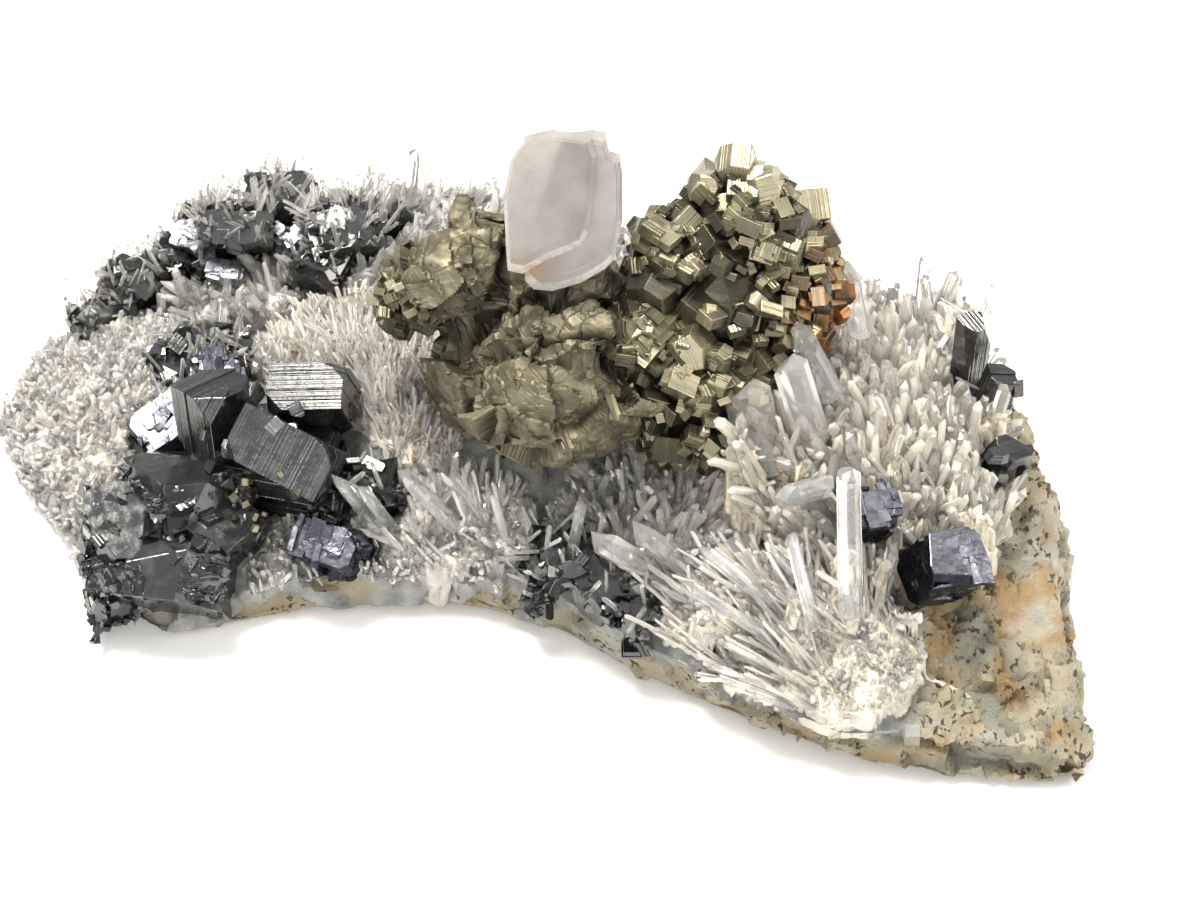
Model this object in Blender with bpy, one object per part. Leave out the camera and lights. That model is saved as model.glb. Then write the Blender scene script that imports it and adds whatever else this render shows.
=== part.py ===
"""A cabinet specimen of pyrite, sphalerite and galena on a druse of quartz needles.

A crescent slab of altered rock lies on its broken flat underside. Druses of quartz crystals grow on
its top in patches, with black sphalerite and lead-grey galena between them. A mass of pyrite, half
stepped lobes and half cubes, stands on the middle and carries two grown-together calcite tablets.

Lengths are in millimetres until the end, where each mesh is scaled to metres. X runs along the
slab, Y from its concave front edge to its back, and Z up. The origin lies in the resting face.
"""

import math
import random

import bmesh
import bpy
from mathutils import Euler, Matrix, Vector, noise

MM = 0.001
GAP = 0.3  # clearance between neighbouring pieces
SPECIMEN = "pyrite_sphalerite_galena"

# The slab. Its outlines are corners in plan, read by angle round the slab's middle.
SLAB_MIDDLE = (10, 16)
SLAB_STEPS = 42
SLAB_RINGS = (0.32, 0.6, 0.8, 0.93, 1.0)
RIM_BLEND = 0.76  # share of the way out where the top starts to turn down to its rim
# Corners of the top rim: x, y and height.
SLAB_TOP_RIM = [
    (96, -8, 11), (94, 5, 15), (88, 20, 18), (69, 36, 19), (45, 47, 20), (20, 56, 19),
    (-5, 63, 19), (-28, 65, 19), (-49, 61, 18), (-65, 53, 16), (-77, 44, 12), (-88, 33, 9),
    (-95, 23, 6.5), (-96, 15, 5), (-88, 2, 5), (-79, -7, 6), (-75, -20, 6), (-68, -29, 6),
    (-58, -30, 6), (-46, -25, 7), (-37, -24, 9), (-17, -23, 11), (-4, -24, 12), (8, -31, 12),
    (18, -39, 12.5), (34, -48, 12), (50, -57, 11.5), (57, -62, 11.5), (66, -60, 14), (80, -61, 9),
    (90, -62, 7), (95, -54, 7), (95, -30, 9),
]
SLAB_BASE_RIM = [
    (98, -5), (96, 10), (88, 24), (71, 37), (45, 48), (20, 56), (-5, 62), (-28, 64), (-49, 60),
    (-65, 53), (-78, 43), (-89, 33), (-96, 23), (-98, 16), (-90, 1), (-80, -7), (-77, -20),
    (-68, -31), (-58, -33), (-46, -28), (-38, -26), (-17, -25), (-6, -27), (8, -31), (17, -38),
    (36, -49), (53, -57), (57, -62), (68, -62), (81, -63), (91, -66), (97, -63), (98, -46), (98, -25),
]
SLAB_FOOT = 0.93  # the resting face's share of the base outline
SLAB_LOW = 5
# Swells of the slab's top: x, y, height, spread along x, spread along y.
SLAB_SWELLS = [
    (-15, 45, 14, 60, 42),
    (58, -8, 22, 32, 34),
    (45, -42, 7, 22, 20),
    (-20, 0, 8, 50, 28),
    (12, -20, 5, 25, 22),
    (-72, 10, 7, 24, 30),
]

# Druse patches. crystals: how many small ones; length and radius: their ranges; focus: the point
# that they fan out from; big: single crystals that stand out, as root, tip and radius.
DRUSES = {
    "quartz_druse_right": dict(
        middle=(62, -6), depth=8, crystals=17, length=(10, 14), radius=(1.7, 2.5), focus=(62, -8, 4), seed=17,
        outline=[(37, -22), (41, -8), (46, 4), (51, 16), (60, 27), (71, 27), (80, 20), (86, 8), (86, -12),
                 (80, -30), (71, -35), (58, -34), (46, -33), (40, -29)],
        big=[((42, -26, 28), (37, -19, 49), 3.6), ((47, -20, 30), (41, -12, 50), 3.0),
             ((53, -6, 38), (43, -4, 51), 2.4), ((54, 2, 38), (51, 5, 57), 1.9),
             ((62, 6, 40), (60, 12, 57), 2.6), ((52, -26, 34), (44, -35, 41), 3.0)],
    ),
    "quartz_druse_right_front": dict(
        middle=(48, -45), depth=6, crystals=9, length=(9, 13), radius=(1.3, 2.0), focus=(56, -44, 4), seed=18,
        outline=[(19, -37), (34, -46), (48, -55), (56, -60), (64, -57), (68, -49), (71, -40), (60, -37),
                 (46, -36), (36, -33), (26, -31)],
        big=[((56, -45, 24), (54, -38, 52), 2.5), ((50, -46, 22), (45, -43, 42), 1.6),
             ((44, -46, 18), (28, -43, 30), 1.6), ((46, -42, 20), (31, -38, 33), 1.6)],
    ),
    "quartz_druse_centre": dict(
        middle=(22, -20), depth=5, crystals=3, length=(8, 11), radius=(1.5, 2.1), focus=(30, -22, 2), seed=16,
        outline=[(5, -18), (9, -26), (20, -30), (34, -29), (40, -20), (36, -12), (20, -8), (8, -10)],
        big=[((24, -31, 18), (13, -32, 29), 2.6), ((10, -27, 16), (12, -29, 33), 1.7),
             ((30, -30, 18), (20, -32, 31), 2.2)],
    ),
    "quartz_druse_front": dict(
        middle=(-16, -16), depth=5, crystals=4, length=(8, 11), radius=(1.3, 1.8), focus=(4, -32, -2), seed=15,
        outline=[(-38, -20), (-20, -21), (-5, -22), (3, -26), (5, -18), (2, -9), (-8, -8), (-14, -11),
                 (-22, -9), (-30, -7), (-37, -12)],
        big=[((-23, -19, 15), (-30, -17, 28), 1.9), ((-21, -18, 14), (-26, -19, 27), 1.6),
             ((-10, -18, 15), (-19, -18, 29), 2.0), ((-4, -18, 15), (-10, -19, 30), 1.6)],
    ),
    "quartz_druse_middle": dict(
        middle=(-28, 13), depth=7, crystals=8, length=(7, 10), radius=(1.3, 1.9), focus=(-22, 4, -6), seed=12,
        outline=[(-50, 14), (-46, 25), (-38, 33), (-26, 34), (-16, 28), (-10, 14), (-8, -2), (-14, -9),
                 (-22, -6), (-28, 2), (-34, 9), (-42, 10)],
        big=[],
    ),
    "quartz_druse_left": dict(
        middle=(-77, 14), depth=6, crystals=6, length=(5, 8), radius=(1.6, 2.4), focus=(-76, 14, -6), seed=11,
        outline=[(-94, 17), (-93, 25), (-87, 33), (-77, 41), (-66, 35), (-60, 24), (-59, 12), (-63, 0),
                 (-70, -4), (-77, -8), (-82, -4), (-89, 4)],
        big=[],
    ),
    "quartz_druse_back": dict(
        middle=(-28, 47), depth=6, crystals=9, length=(8, 13), radius=(1.5, 2.3), focus=(-28, 40, -12), seed=13,
        outline=[(-64, 28), (-70, 42), (-60, 53), (-46, 59), (-28, 63), (-5, 61), (14, 57), (15, 42),
                 (12, 24), (-8, 24), (-12, 34), (-26, 38), (-40, 36), (-48, 29), (-56, 22)],
        big=[((-22, 58, 20), (-20, 61, 33), 2.2), ((-40, 56, 20), (-43, 60, 32), 2.0)],
    ),
    "quartz_druse_back_right": dict(
        middle=(36, 36), depth=6, crystals=5, length=(7, 11), radius=(1.5, 2.2), focus=(32, 30, -8), seed=14,
        outline=[(17, 56), (32, 52), (48, 46), (62, 38), (66, 30), (56, 26), (44, 20), (28, 18), (14, 22), (17, 38)],
        big=[],
    ),
}
CRUST_STEPS = 15
CRUST_RINGS = (1.0, 0.7, 0.36)
CRUST_ROOT = 3  # how far the crust starts below the slab's top, where the slab then cuts it

# Blocks of sphalerite and galena: middle, size, turn about X, Y and Z in degrees.
BLOCKS = {
    "sphalerite_front_left": [
        ((-57, -13, 18), (19, 15, 12), (-18, 14, 35)),
        ((-67, -19, 13), (15, 15, 14), (15, 10, 10)),
        ((-59, -26, 12), (21, 12, 13), (28, 0, -8)),
        ((-68, -26, 8), (13, 11, 11), (0, 12, 28)),
        ((-51, -19, 14), (12, 11, 10), (12, 8, 50)),
    ],
    "sphalerite_prisms_left": [
        ((-51, -4, 27), (11, 11, 15), (-12, 8, 42)),
        ((-39, -12, 27), (19, 10, 9), (38, 14, -24)),
        ((-35, 1, 27), (14, 9, 12), (22, -8, -6)),
        ((-42, -5, 18), (21, 16, 12), (4, 0, -14)),
    ],
    "sphalerite_stack_left": [
        ((-56, 20, 19), (14, 8, 9), (14, 6, 12)),
        ((-61, 16, 18), (10, 8, 8), (0, 16, 30)),
    ],
    "sphalerite_back_left": [
        ((-53, 46, 26), (14, 8, 14), (38, 6, 4)),
        ((-46, 53, 26), (13, 9, 11), (20, 20, 30)),
        ((-58, 50, 21), (13, 10, 10), (10, 0, 50)),
    ],
    "sphalerite_back": [
        ((-33, 45, 26), (15, 10, 10), (24, 10, 20)),
        ((-28, 50, 24), (12, 9, 9), (10, 25, 50)),
        ((-37, 40, 22), (11, 9, 9), (15, 0, 70)),
    ],
    "sphalerite_left_edge": [
        ((-71, 41, 17), (13, 9, 9), (18, 8, 38)),
        ((-64, 44, 19), (10, 8, 9), (0, 20, 10)),
        ((-79, 36, 13), (11, 7, 7), (10, 0, 40)),
    ],
    "sphalerite_front": [
        ((8, -26, 14), (12, 10, 12), (15, 10, 30)),
        ((15, -32, 15), (13, 9, 10), (10, 20, -35)),
        ((22, -37, 13), (8, 7, 7), (24, 0, 50)),
    ],
    "sphalerite_middle": [((-25, -12, 16), (12, 9, 11), (15, 10, 25)), ((-31, -14, 15), (8, 7, 9), (0, 22, 60))],
    "sphalerite_right_tip": [((80, 8, 31), (6, 6, 21), (8, -8, 30)), ((84, 3, 25), (6, 6, 13), (0, 12, 10))],
    "sphalerite_right": [((85, -9, 22), (7, 6, 9), (12, 10, 30))],
    "galena_front_left": [((-32, -22, 14), (12, 7, 9), (30, 8, -20)), ((-29, -21, 12), (8, 7, 8), (10, 20, 30))],
    "galena_right": [((72, -35, 24), (12, 10, 11), (22, 12, 24))],
    "galena_right_back": [((59, -31, 33), (8, 7, 8), (20, 8, 15))],
    "galena_left": [((-62, 3, 18), (12, 9, 7), (18, -14, 38))],
    "galena_left_back": [((-54, 12, 21), (9, 7, 7), (25, 10, 12))],
}
SPHALERITE_CUT = 0.36  # reach of the four corner facets along the block's shortest edge
GALENA_CUT = 0.24  # the same for galena, whose eight corners are all cut

# Rounded lobes of the pyrite's stepped mass: middle and half axes, and the blocks that step out.
PYRITE_LOBES = [
    ((6, -13, 41), (14, 11, 12)),
    ((-9, 10, 46), (12, 11, 11)),
    ((8, 5, 46), (13, 11, 12)),
    ((-1, 2, 32), (15, 13, 14)),
    ((1, -10, 38), (9, 8, 10)),
    ((7, -5, 48), (13, 8, 8)),
    ((-17, 11, 42), (7, 7, 8)),
]
PYRITE_BLOCKS = [
    ((16, -13, 41), (11, 10, 11), (20, 14, 20)),
    ((3, -17, 42), (13, 9, 11), (-24, 10, 12)),
    ((-1, -13, 41), (9, 8, 9), (-20, 24, 40)),
    ((9, -9, 51), (15, 9, 8), (12, -8, 14)),
    ((-12, 4, 51), (13, 9, 8), (22, -14, 30)),
    ((-4, 14, 52), (14, 10, 8), (-10, 10, -16)),
    ((-19, 8, 45), (8, 7, 8), (18, 20, 30)),
]
# The cube cluster's core lobes, its named cubes (middle, edge), and how many small cubes cover it.
CUBE_CORE = [
    ((31, -7, 36), (11, 9, 11)),
    ((37, 6, 44), (14, 13, 16)),
    ((39, 10, 57), (9, 8, 11)),
    ((48, 8, 45), (7, 9, 12)),
]
LARGE_CUBES = [
    ((23, -1, 55), 9), ((31, -2, 52), 8.5), ((38, 14, 69.5), 7), ((42, 11, 67), 7), ((32, 12, 66), 7.5),
    ((42, 5, 59), 7.5), ((39, -1, 50), 7.5), ((26, 12, 63), 8), ((46, 9, 60), 7.5), ((50, 14, 60), 7.5),
    ((53, 11, 56), 6.5), ((30, -7, 47), 8), ((25, -9, 42), 8), ((33, -11, 41), 7), ((24, -14, 37), 7),
    ((36, 8, 64), 8), ((28, 7, 60), 8), ((47, 1, 49), 7), ((54, 8, 49), 7), ((41, 19, 58), 8),
    ((36, 4, 57), 8), ((27, -16, 33), 7), ((40, -5, 44), 7), ((21, 8, 60), 6.5), ((34, 17, 62), 8),
]
SMALL_CUBES = 24
SMALL_CUBE_EDGE = (4.6, 6.8)

# The calcite tablets: outlines in the plane of the tablet, which leans back over the pyrite.
CALCITE_MIDDLE = (8.7, -2.2, 70.6)
CALCITE_LEAN = 21
# Distance behind the front face, thickness and corners of each tablet.
CALCITE_TABLETS = [
    (0.0, 4.2, [(-8, 10.8), (-5.7, 14), (-1.6, 15.2), (4.9, 14.2), (5.7, 11.4), (5.2, 3.7), (4.4, -1.7),
                (3.3, -4), (-2.4, -6.5), (-6.4, -8.9), (-8.8, -8.4), (-8.9, -5.8), (-9.3, 3.7)]),
    (3.4, 5.2, [(0, 13), (5.2, 13.7), (7.2, 13.3), (8, 10), (9.6, 9.5), (10, 6.8), (10, -1.2), (8.6, -7.9),
                (7.2, -9.5), (3.1, -11.9), (-1.6, -13.5), (-4.7, -13.1), (-6.1, -11.6), (-6.4, -6)]),
]
CALCITE_EDGE = 0.9  # width of the tablets' edge bevel

# Base colour, roughness and metallic value of each mineral.
FINISHES = {
    "matrix": ((0.52, 0.47, 0.38), 0.85, 0.0),
    "quartz": ((0.82, 0.79, 0.74), 0.25, 0.0),
    "sphalerite": ((0.03, 0.03, 0.035), 0.25, 0.3),
    "galena": ((0.24, 0.25, 0.30), 0.3, 0.9),
    "pyrite": ((0.40, 0.34, 0.20), 0.35, 0.9),
    "calcite": ((0.80, 0.74, 0.73), 0.4, 0.0),
}


def outline_reader(corners, middle):
    """A function of angle that reads an outline's radius, and any height, round its middle."""
    rows = []
    for x, y, *height in corners:
        angle = math.atan2(y - middle[1], x - middle[0]) % math.tau
        rows.append((angle, math.hypot(x - middle[0], y - middle[1]), *height))
    rows.sort()
    before = (rows[-1][0] - math.tau, *rows[-1][1:])
    after = (rows[0][0] + math.tau, *rows[0][1:])
    rows = [before, *rows, after]

    def read(angle):
        angle %= math.tau
        for low, high in zip(rows, rows[1:]):
            if low[0] <= angle <= high[0]:
                share = (angle - low[0]) / max(high[0] - low[0], 1e-9)
                return [a + (b - a) * share for a, b in zip(low[1:], high[1:])]
        return list(rows[1][1:])

    return read


slab_top_rim = outline_reader(SLAB_TOP_RIM, SLAB_MIDDLE)
slab_base_rim = outline_reader(SLAB_BASE_RIM, SLAB_MIDDLE)


def slab_share(x, y):
    """How far out a point in plan lies: 0 at the slab's middle, 1 at its rim. Also the rim's height."""
    angle = math.atan2(y - SLAB_MIDDLE[1], x - SLAB_MIDDLE[0])
    radius, height = slab_top_rim(angle)
    return math.hypot(x - SLAB_MIDDLE[0], y - SLAB_MIDDLE[1]) / radius, height


def slab_top(x, y):
    """Height of the slab's top above the resting face."""
    swell = SLAB_LOW
    for middle_x, middle_y, height, spread_x, spread_y in SLAB_SWELLS:
        swell += height * math.exp(-(((x - middle_x) / spread_x) ** 2) - ((y - middle_y) / spread_y) ** 2)
    share, rim_height = slab_share(x, y)
    turn = min(max((share - RIM_BLEND) / (1 - RIM_BLEND), 0), 1)
    turn = turn * turn * (3 - 2 * turn)
    rough = (0.6 + 1.6 * turn) * noise.noise(Vector((x, y, 0)) / 9)
    return swell + (rim_height - swell) * turn + rough


def new_object(name, bm):
    """An object in the scene from a bmesh, which it frees."""
    bmesh.ops.recalc_face_normals(bm, faces=bm.faces)
    mesh = bpy.data.meshes.new(name)
    bm.to_mesh(mesh)
    bm.free()
    made = bpy.data.objects.new(name, mesh)
    bpy.context.scene.collection.objects.link(made)
    return made


def discard(objects):
    for each in objects:
        mesh = each.data
        bpy.data.objects.remove(each)
        bpy.data.meshes.remove(mesh)


def is_sound(mesh):
    """Whether a mesh has a volume and every edge joins exactly two faces."""
    bm = bmesh.new()
    bm.from_mesh(mesh)
    sound = len(bm.faces) > 3 and all(len(edge.link_faces) == 2 for edge in bm.edges)
    sound = sound and bm.calc_volume(signed=True) > 0
    bm.free()
    return sound


def boolean(target, others, operation):
    """Joins others to target, or cuts them from it, and removes them."""
    group = bpy.data.collections.new("operands")
    for each in others:
        group.objects.link(each)
    modifier = target.modifiers.new("boolean", "BOOLEAN")
    modifier.operation = operation
    modifier.operand_type = "COLLECTION"
    modifier.collection = group
    for solver in ("EXACT", "MANIFOLD"):
        modifier.solver = solver
        bpy.context.view_layer.update()
        evaluated = target.evaluated_get(bpy.context.evaluated_depsgraph_get())
        mesh = bpy.data.meshes.new_from_object(evaluated)
        if is_sound(mesh):
            break
    target.modifiers.clear()
    spent, target.data = target.data, mesh
    bpy.data.meshes.remove(spent)
    bpy.data.collections.remove(group)
    discard(others)


def box_of(piece):
    """Low and high corner of the box round a piece."""
    spots = [vert.co for vert in piece.data.vertices]
    return [min(s[i] for s in spots) for i in range(3)], [max(s[i] for s in spots) for i in range(3)]


def meets(piece, other):
    """Whether the boxes round two pieces meet."""
    (low, high), (other_low, other_high) = box_of(piece), box_of(other)
    return all(low[i] <= other_high[i] and other_low[i] <= high[i] for i in range(3))


def keep_largest(bm):
    """Drops the crumbs that a cut has freed from a piece."""
    islands, seen = [], set()
    for start in bm.verts:
        if start in seen:
            continue
        island, queue = [], [start]
        seen.add(start)
        while queue:
            vert = queue.pop()
            island.append(vert)
            for edge in vert.link_edges:
                other = edge.other_vert(vert)
                if other not in seen:
                    seen.add(other)
                    queue.append(other)
        islands.append(island)
    islands.sort(key=len)
    for island in islands[:-1]:
        bmesh.ops.delete(bm, geom=island, context="VERTS")


def tidy_mesh(piece):
    """Keeps a piece's main body and joins its flat faces, where that leaves it closed."""
    whole = bmesh.new()
    whole.from_mesh(piece.data)
    keep_largest(whole)
    whole.to_mesh(piece.data)
    bmesh.ops.dissolve_limit(whole, angle_limit=math.radians(0.5), verts=whole.verts, edges=whole.edges)
    bmesh.ops.triangulate(whole, faces=whole.faces)
    joined = bpy.data.meshes.new(piece.name)
    whole.to_mesh(joined)
    whole.free()
    if is_sound(joined):
        spent, piece.data = piece.data, joined
        bpy.data.meshes.remove(spent)
    else:
        bpy.data.meshes.remove(joined)


def make_piece(name, parts, cutters):
    """One solid from overlapping parts, cut clear of its grown neighbours."""
    piece = parts[0]
    piece.name = name
    if len(parts) > 1:
        boolean(piece, parts[1:], "UNION")
    near = [cutter for cutter in cutters if meets(piece, cutter)]
    discard([cutter for cutter in cutters if cutter not in near])
    if near:
        boolean(piece, near, "DIFFERENCE")
    tidy_mesh(piece)
    return piece


def skin(name, rings, low_end, high_end):
    """A closed surface through rings of equal count from low_end to high_end, with a fan at each."""
    bm = bmesh.new()
    loops = [[bm.verts.new(point) for point in ring] for ring in rings]
    ends = bm.verts.new(low_end), bm.verts.new(high_end)
    count = len(rings[0])
    for i in range(count):
        j = (i + 1) % count
        bm.faces.new((ends[0], loops[0][j], loops[0][i]))
        bm.faces.new((ends[1], loops[-1][i], loops[-1][j]))
        for low, high in zip(loops, loops[1:]):
            bm.faces.new((low[i], low[j], high[j]))
            bm.faces.new((low[i], high[j], high[i]))
    return new_object(name, bm)


def slab_parts(grow=0.0):
    """The rock slab. A grown one, for cutting, is fuller at its top and sides."""
    middle = Vector((*SLAB_MIDDLE, 0))
    foot, base, waist = [], [], []
    tops = [[] for _ in SLAB_RINGS]
    for step in range(SLAB_STEPS):
        angle = math.tau * step / SLAB_STEPS
        way = Vector((math.cos(angle), math.sin(angle), 0))
        base_radius = slab_base_rim(angle)[0] + grow
        top_radius, rim_height = slab_top_rim(angle)
        foot.append(middle + way * base_radius * SLAB_FOOT)
        base.append(middle + way * base_radius + Vector((0, 0, 2.0 + 1.2 * noise.noise(way * 7))))
        waist_radius = (base_radius + top_radius + grow) / 2 + 1.6 * noise.noise(way * 11)
        waist.append(middle + way * waist_radius + Vector((0, 0, 0.58 * rim_height)))
        for ring, share in zip(tops, SLAB_RINGS):
            point = middle + way * top_radius * share
            ring.append(Vector((point.x, point.y, slab_top(point.x, point.y) + grow)) + way * grow * share)
    high_end = Vector((*SLAB_MIDDLE, slab_top(*SLAB_MIDDLE) + grow))
    return [skin("matrix_rock", [foot, base, waist, *tops[::-1]], middle, high_end)]


def quartz_point(root, tip, radius, spin, grow=0.0):
    """A quartz crystal: a slightly tapering six-sided prism with a pyramid on its far end."""
    way = (tip - root).normalized()
    pyramid = 1.4 * radius
    prism = (tip - root).length + grow - pyramid
    bm = bmesh.new()
    bmesh.ops.create_cone(
        bm, cap_ends=True, segments=6, radius1=radius + grow, radius2=0.86 * radius + grow, depth=prism
    )
    cap = max(bm.faces, key=lambda face: face.calc_center_median().z)
    apex = bmesh.ops.poke(bm, faces=[cap])["verts"][0]
    apex.co.z += pyramid
    bmesh.ops.translate(bm, verts=bm.verts, vec=(0, 0, prism / 2))
    turn = way.to_track_quat("Z", "Y").to_matrix().to_4x4() @ Matrix.Rotation(spin, 4, "Z")
    bmesh.ops.transform(bm, matrix=Matrix.Translation(root) @ turn, verts=bm.verts)
    return new_object("crystal", bm)


def inside_any(point, lumps, margin):
    """Whether a point lies in one of the ellipsoids, grown by margin."""
    for middle, half_axes in lumps:
        if sum(((p - m) / (r + margin)) ** 2 for p, m, r in zip(point, middle, half_axes)) < 1:
            return True
    return False


def block_lumps():
    """Every block as an ellipsoid, for keeping small crystals out of them."""
    return [(at, [0.5 * s for s in size]) for blocks in BLOCKS.values() for at, size, _ in blocks]


def druse_crystals(druse):
    """Root, tip, radius and spin of each crystal of a druse, the big ones first."""
    dice = random.Random(druse["seed"])
    reader = outline_reader(druse["outline"], druse["middle"])
    focus = Vector(druse["focus"])
    taken = PYRITE_LOBES + CUBE_CORE + block_lumps()
    found = [(Vector(root), Vector(tip), radius, 0.3) for root, tip, radius in druse["big"]]
    wanted = len(found) + druse["crystals"]
    for _ in range(6000):
        if len(found) >= wanted:
            break
        angle = dice.uniform(0, math.tau)
        reach = reader(angle)[0] * math.sqrt(dice.uniform(0, 0.9))
        x = druse["middle"][0] + reach * math.cos(angle)
        y = druse["middle"][1] + reach * math.sin(angle)
        root = Vector((x, y, slab_top(x, y) + 0.35 * druse["depth"]))
        way = (root - focus).normalized() + Vector([dice.uniform(-0.22, 0.22) for _ in range(3)])
        tip = root + way.normalized() * (dice.uniform(*druse["length"]) + 0.5 * druse["depth"])
        radius = dice.uniform(*druse["radius"])
        spin = dice.uniform(0, 1)
        crowded = any((root - other[0]).length < 2.2 * radius for other in found)
        outside = slab_share(tip.x, tip.y)[0] > 1.01
        blocked = inside_any(tip, taken, 2.0) or inside_any((root + tip) / 2, taken, 1.4)
        if not (crowded or outside or blocked):
            found.append((root, tip, radius, spin))
    return found


def druse_parts(name, grow=0.0):
    """One patch of quartz: a crust over the slab and the crystals grown out of it."""
    druse = DRUSES[name]
    middle = druse["middle"]
    reader = outline_reader(druse["outline"], middle)
    low, highs = [], [[] for _ in CRUST_RINGS]
    for step in range(CRUST_STEPS):
        angle = math.tau * step / CRUST_STEPS
        for ring, share in [(low, 1.0), *zip(highs, CRUST_RINGS)]:
            reach = reader(angle)[0] * share + grow
            x = middle[0] + reach * math.cos(angle)
            y = middle[1] + reach * math.sin(angle)
            swell = druse["depth"] * math.sqrt(1 - 0.8 * share * share) + grow
            ring.append(Vector((x, y, slab_top(x, y) + (-CRUST_ROOT if ring is low else swell))))
    top = slab_top(*middle)
    ends = Vector((*middle, top - CRUST_ROOT)), Vector((*middle, top + druse["depth"] + grow))
    crust = skin(name, [low, *highs], *ends)
    return [crust, *(quartz_point(*crystal, grow) for crystal in druse_crystals(druse))]


def make_block(at, size, turn, cut, all_corners, grow=0.0):
    """A blocky crystal: a box with four or all eight corners cut to triangular facets."""
    bm = bmesh.new()
    bmesh.ops.create_cube(bm, size=1)
    corners = [vert for vert in bm.verts if all_corners or vert.co.x * vert.co.y * vert.co.z > 0]
    bmesh.ops.scale(bm, vec=[side + 2 * grow for side in size], verts=bm.verts)
    bmesh.ops.bevel(bm, geom=corners, offset=cut * min(size), affect="VERTICES", segments=1, profile=0.5)
    place = Matrix.Translation(at) @ Euler([math.radians(a) for a in turn]).to_matrix().to_4x4()
    bmesh.ops.transform(bm, matrix=place, verts=bm.verts)
    return new_object("block", bm)


def block_parts(name, grow=0.0):
    galena = name.startswith("galena")
    cut = GALENA_CUT if galena else SPHALERITE_CUT
    return [make_block(*block, cut, galena, grow) for block in BLOCKS[name]]


def make_lump(middle, half_axes, detail, grow=0.0):
    """A rounded lobe with broad, slightly uneven facets."""
    bm = bmesh.new()
    bmesh.ops.create_icosphere(bm, subdivisions=detail, radius=1)
    for vert in bm.verts:
        vert.co *= 1 + 0.08 * noise.noise(vert.co * 2.3 + Vector(middle))
    bmesh.ops.scale(bm, vec=[axis + grow for axis in half_axes], verts=bm.verts)
    bmesh.ops.translate(bm, verts=bm.verts, vec=middle)
    return new_object("lump", bm)


def mass_parts(grow=0.0):
    lumps = [make_lump(*lobe, 2, grow) for lobe in PYRITE_LOBES]
    return [*lumps, *(make_block(*block, SPHALERITE_CUT, False, grow) for block in PYRITE_BLOCKS)]


def cube_places():
    """Middles and edges of all cubes: the named ones, then small ones spread over the core."""
    dice = random.Random(5)
    places = list(LARGE_CUBES)
    wanted = len(places) + SMALL_CUBES
    for _ in range(6000):
        if len(places) >= wanted:
            break
        middle, half_axes = CUBE_CORE[dice.randrange(len(CUBE_CORE))]
        way = Vector([dice.gauss(0, 1) for _ in range(3)]).normalized()
        point = Vector([m + (r + 0.8) * w for m, r, w in zip(middle, half_axes, way)])
        edge = dice.uniform(*SMALL_CUBE_EDGE)
        low = point.z < slab_top(point.x, point.y) + 6
        crowded = any((point - Vector(at)).length < 0.46 * (edge + other) for at, other in places)
        if low or crowded or inside_any(point, CUBE_CORE, -0.4) or inside_any(point, PYRITE_LOBES, 0.5):
            continue
        places.append((tuple(point), edge))
    return places


def cube_parts(grow=0.0):
    dice = random.Random(6)
    parts = [make_lump(*lobe, 1, grow) for lobe in CUBE_CORE]
    for middle, edge in cube_places():
        bm = bmesh.new()
        bmesh.ops.create_cube(bm, size=edge + 2 * grow)
        spin = Euler([dice.uniform(0, math.pi / 2) for _ in range(3)])
        bmesh.ops.transform(bm, matrix=Matrix.Translation(middle) @ spin.to_matrix().to_4x4(), verts=bm.verts)
        parts.append(new_object("cube", bm))
    return parts


def calcite_parts(grow=0.0):
    """Two flat tablets grown together, with bevelled edges, leaning back."""
    lean = Matrix.Rotation(math.radians(90 - CALCITE_LEAN), 4, "X")
    parts = []
    for behind, thickness, corners in CALCITE_TABLETS:
        bm = bmesh.new()
        face = bm.faces.new([bm.verts.new((x, y, 0)) for x, y in corners])
        raised = bmesh.ops.extrude_face_region(bm, geom=[face])["geom"]
        upper = [item for item in raised if isinstance(item, bmesh.types.BMVert)]
        bmesh.ops.translate(bm, verts=upper, vec=(0, 0, thickness))
        bmesh.ops.translate(bm, verts=bm.verts, vec=(0, 0, -behind - thickness / 2))
        bmesh.ops.recalc_face_normals(bm, faces=bm.faces)
        rims = [edge for edge in bm.edges if abs(edge.verts[0].co.z - edge.verts[1].co.z) < 1e-6]
        bmesh.ops.bevel(bm, geom=rims, offset=CALCITE_EDGE, affect="EDGES", segments=1)
        middle = sum((vert.co for vert in bm.verts), Vector()) / len(bm.verts)
        for vert in bm.verts:
            vert.co += (vert.co - middle).normalized() * grow * 1.6
        bmesh.ops.transform(bm, matrix=Matrix.Translation(CALCITE_MIDDLE) @ lean, verts=bm.verts)
        parts.append(new_object("calcite", bm))
    return parts


def finish(piece, finish_name, collection):
    """Gives a piece its material, turns it to metres and puts it in the specimen's collection."""
    colour, roughness, metallic = FINISHES[finish_name]
    material = bpy.data.materials.get(finish_name) or bpy.data.materials.new(finish_name)
    material.use_nodes = True
    shader = material.node_tree.nodes["Principled BSDF"]
    shader.inputs["Base Color"].default_value = (*colour, 1)
    shader.inputs["Roughness"].default_value = roughness
    shader.inputs["Metallic"].default_value = metallic
    piece.data.materials.clear()
    piece.data.materials.append(material)
    piece.data.transform(Matrix.Scale(MM, 4))
    piece.data.name = piece.name
    bpy.context.scene.collection.objects.unlink(piece)
    collection.objects.link(piece)


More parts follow.
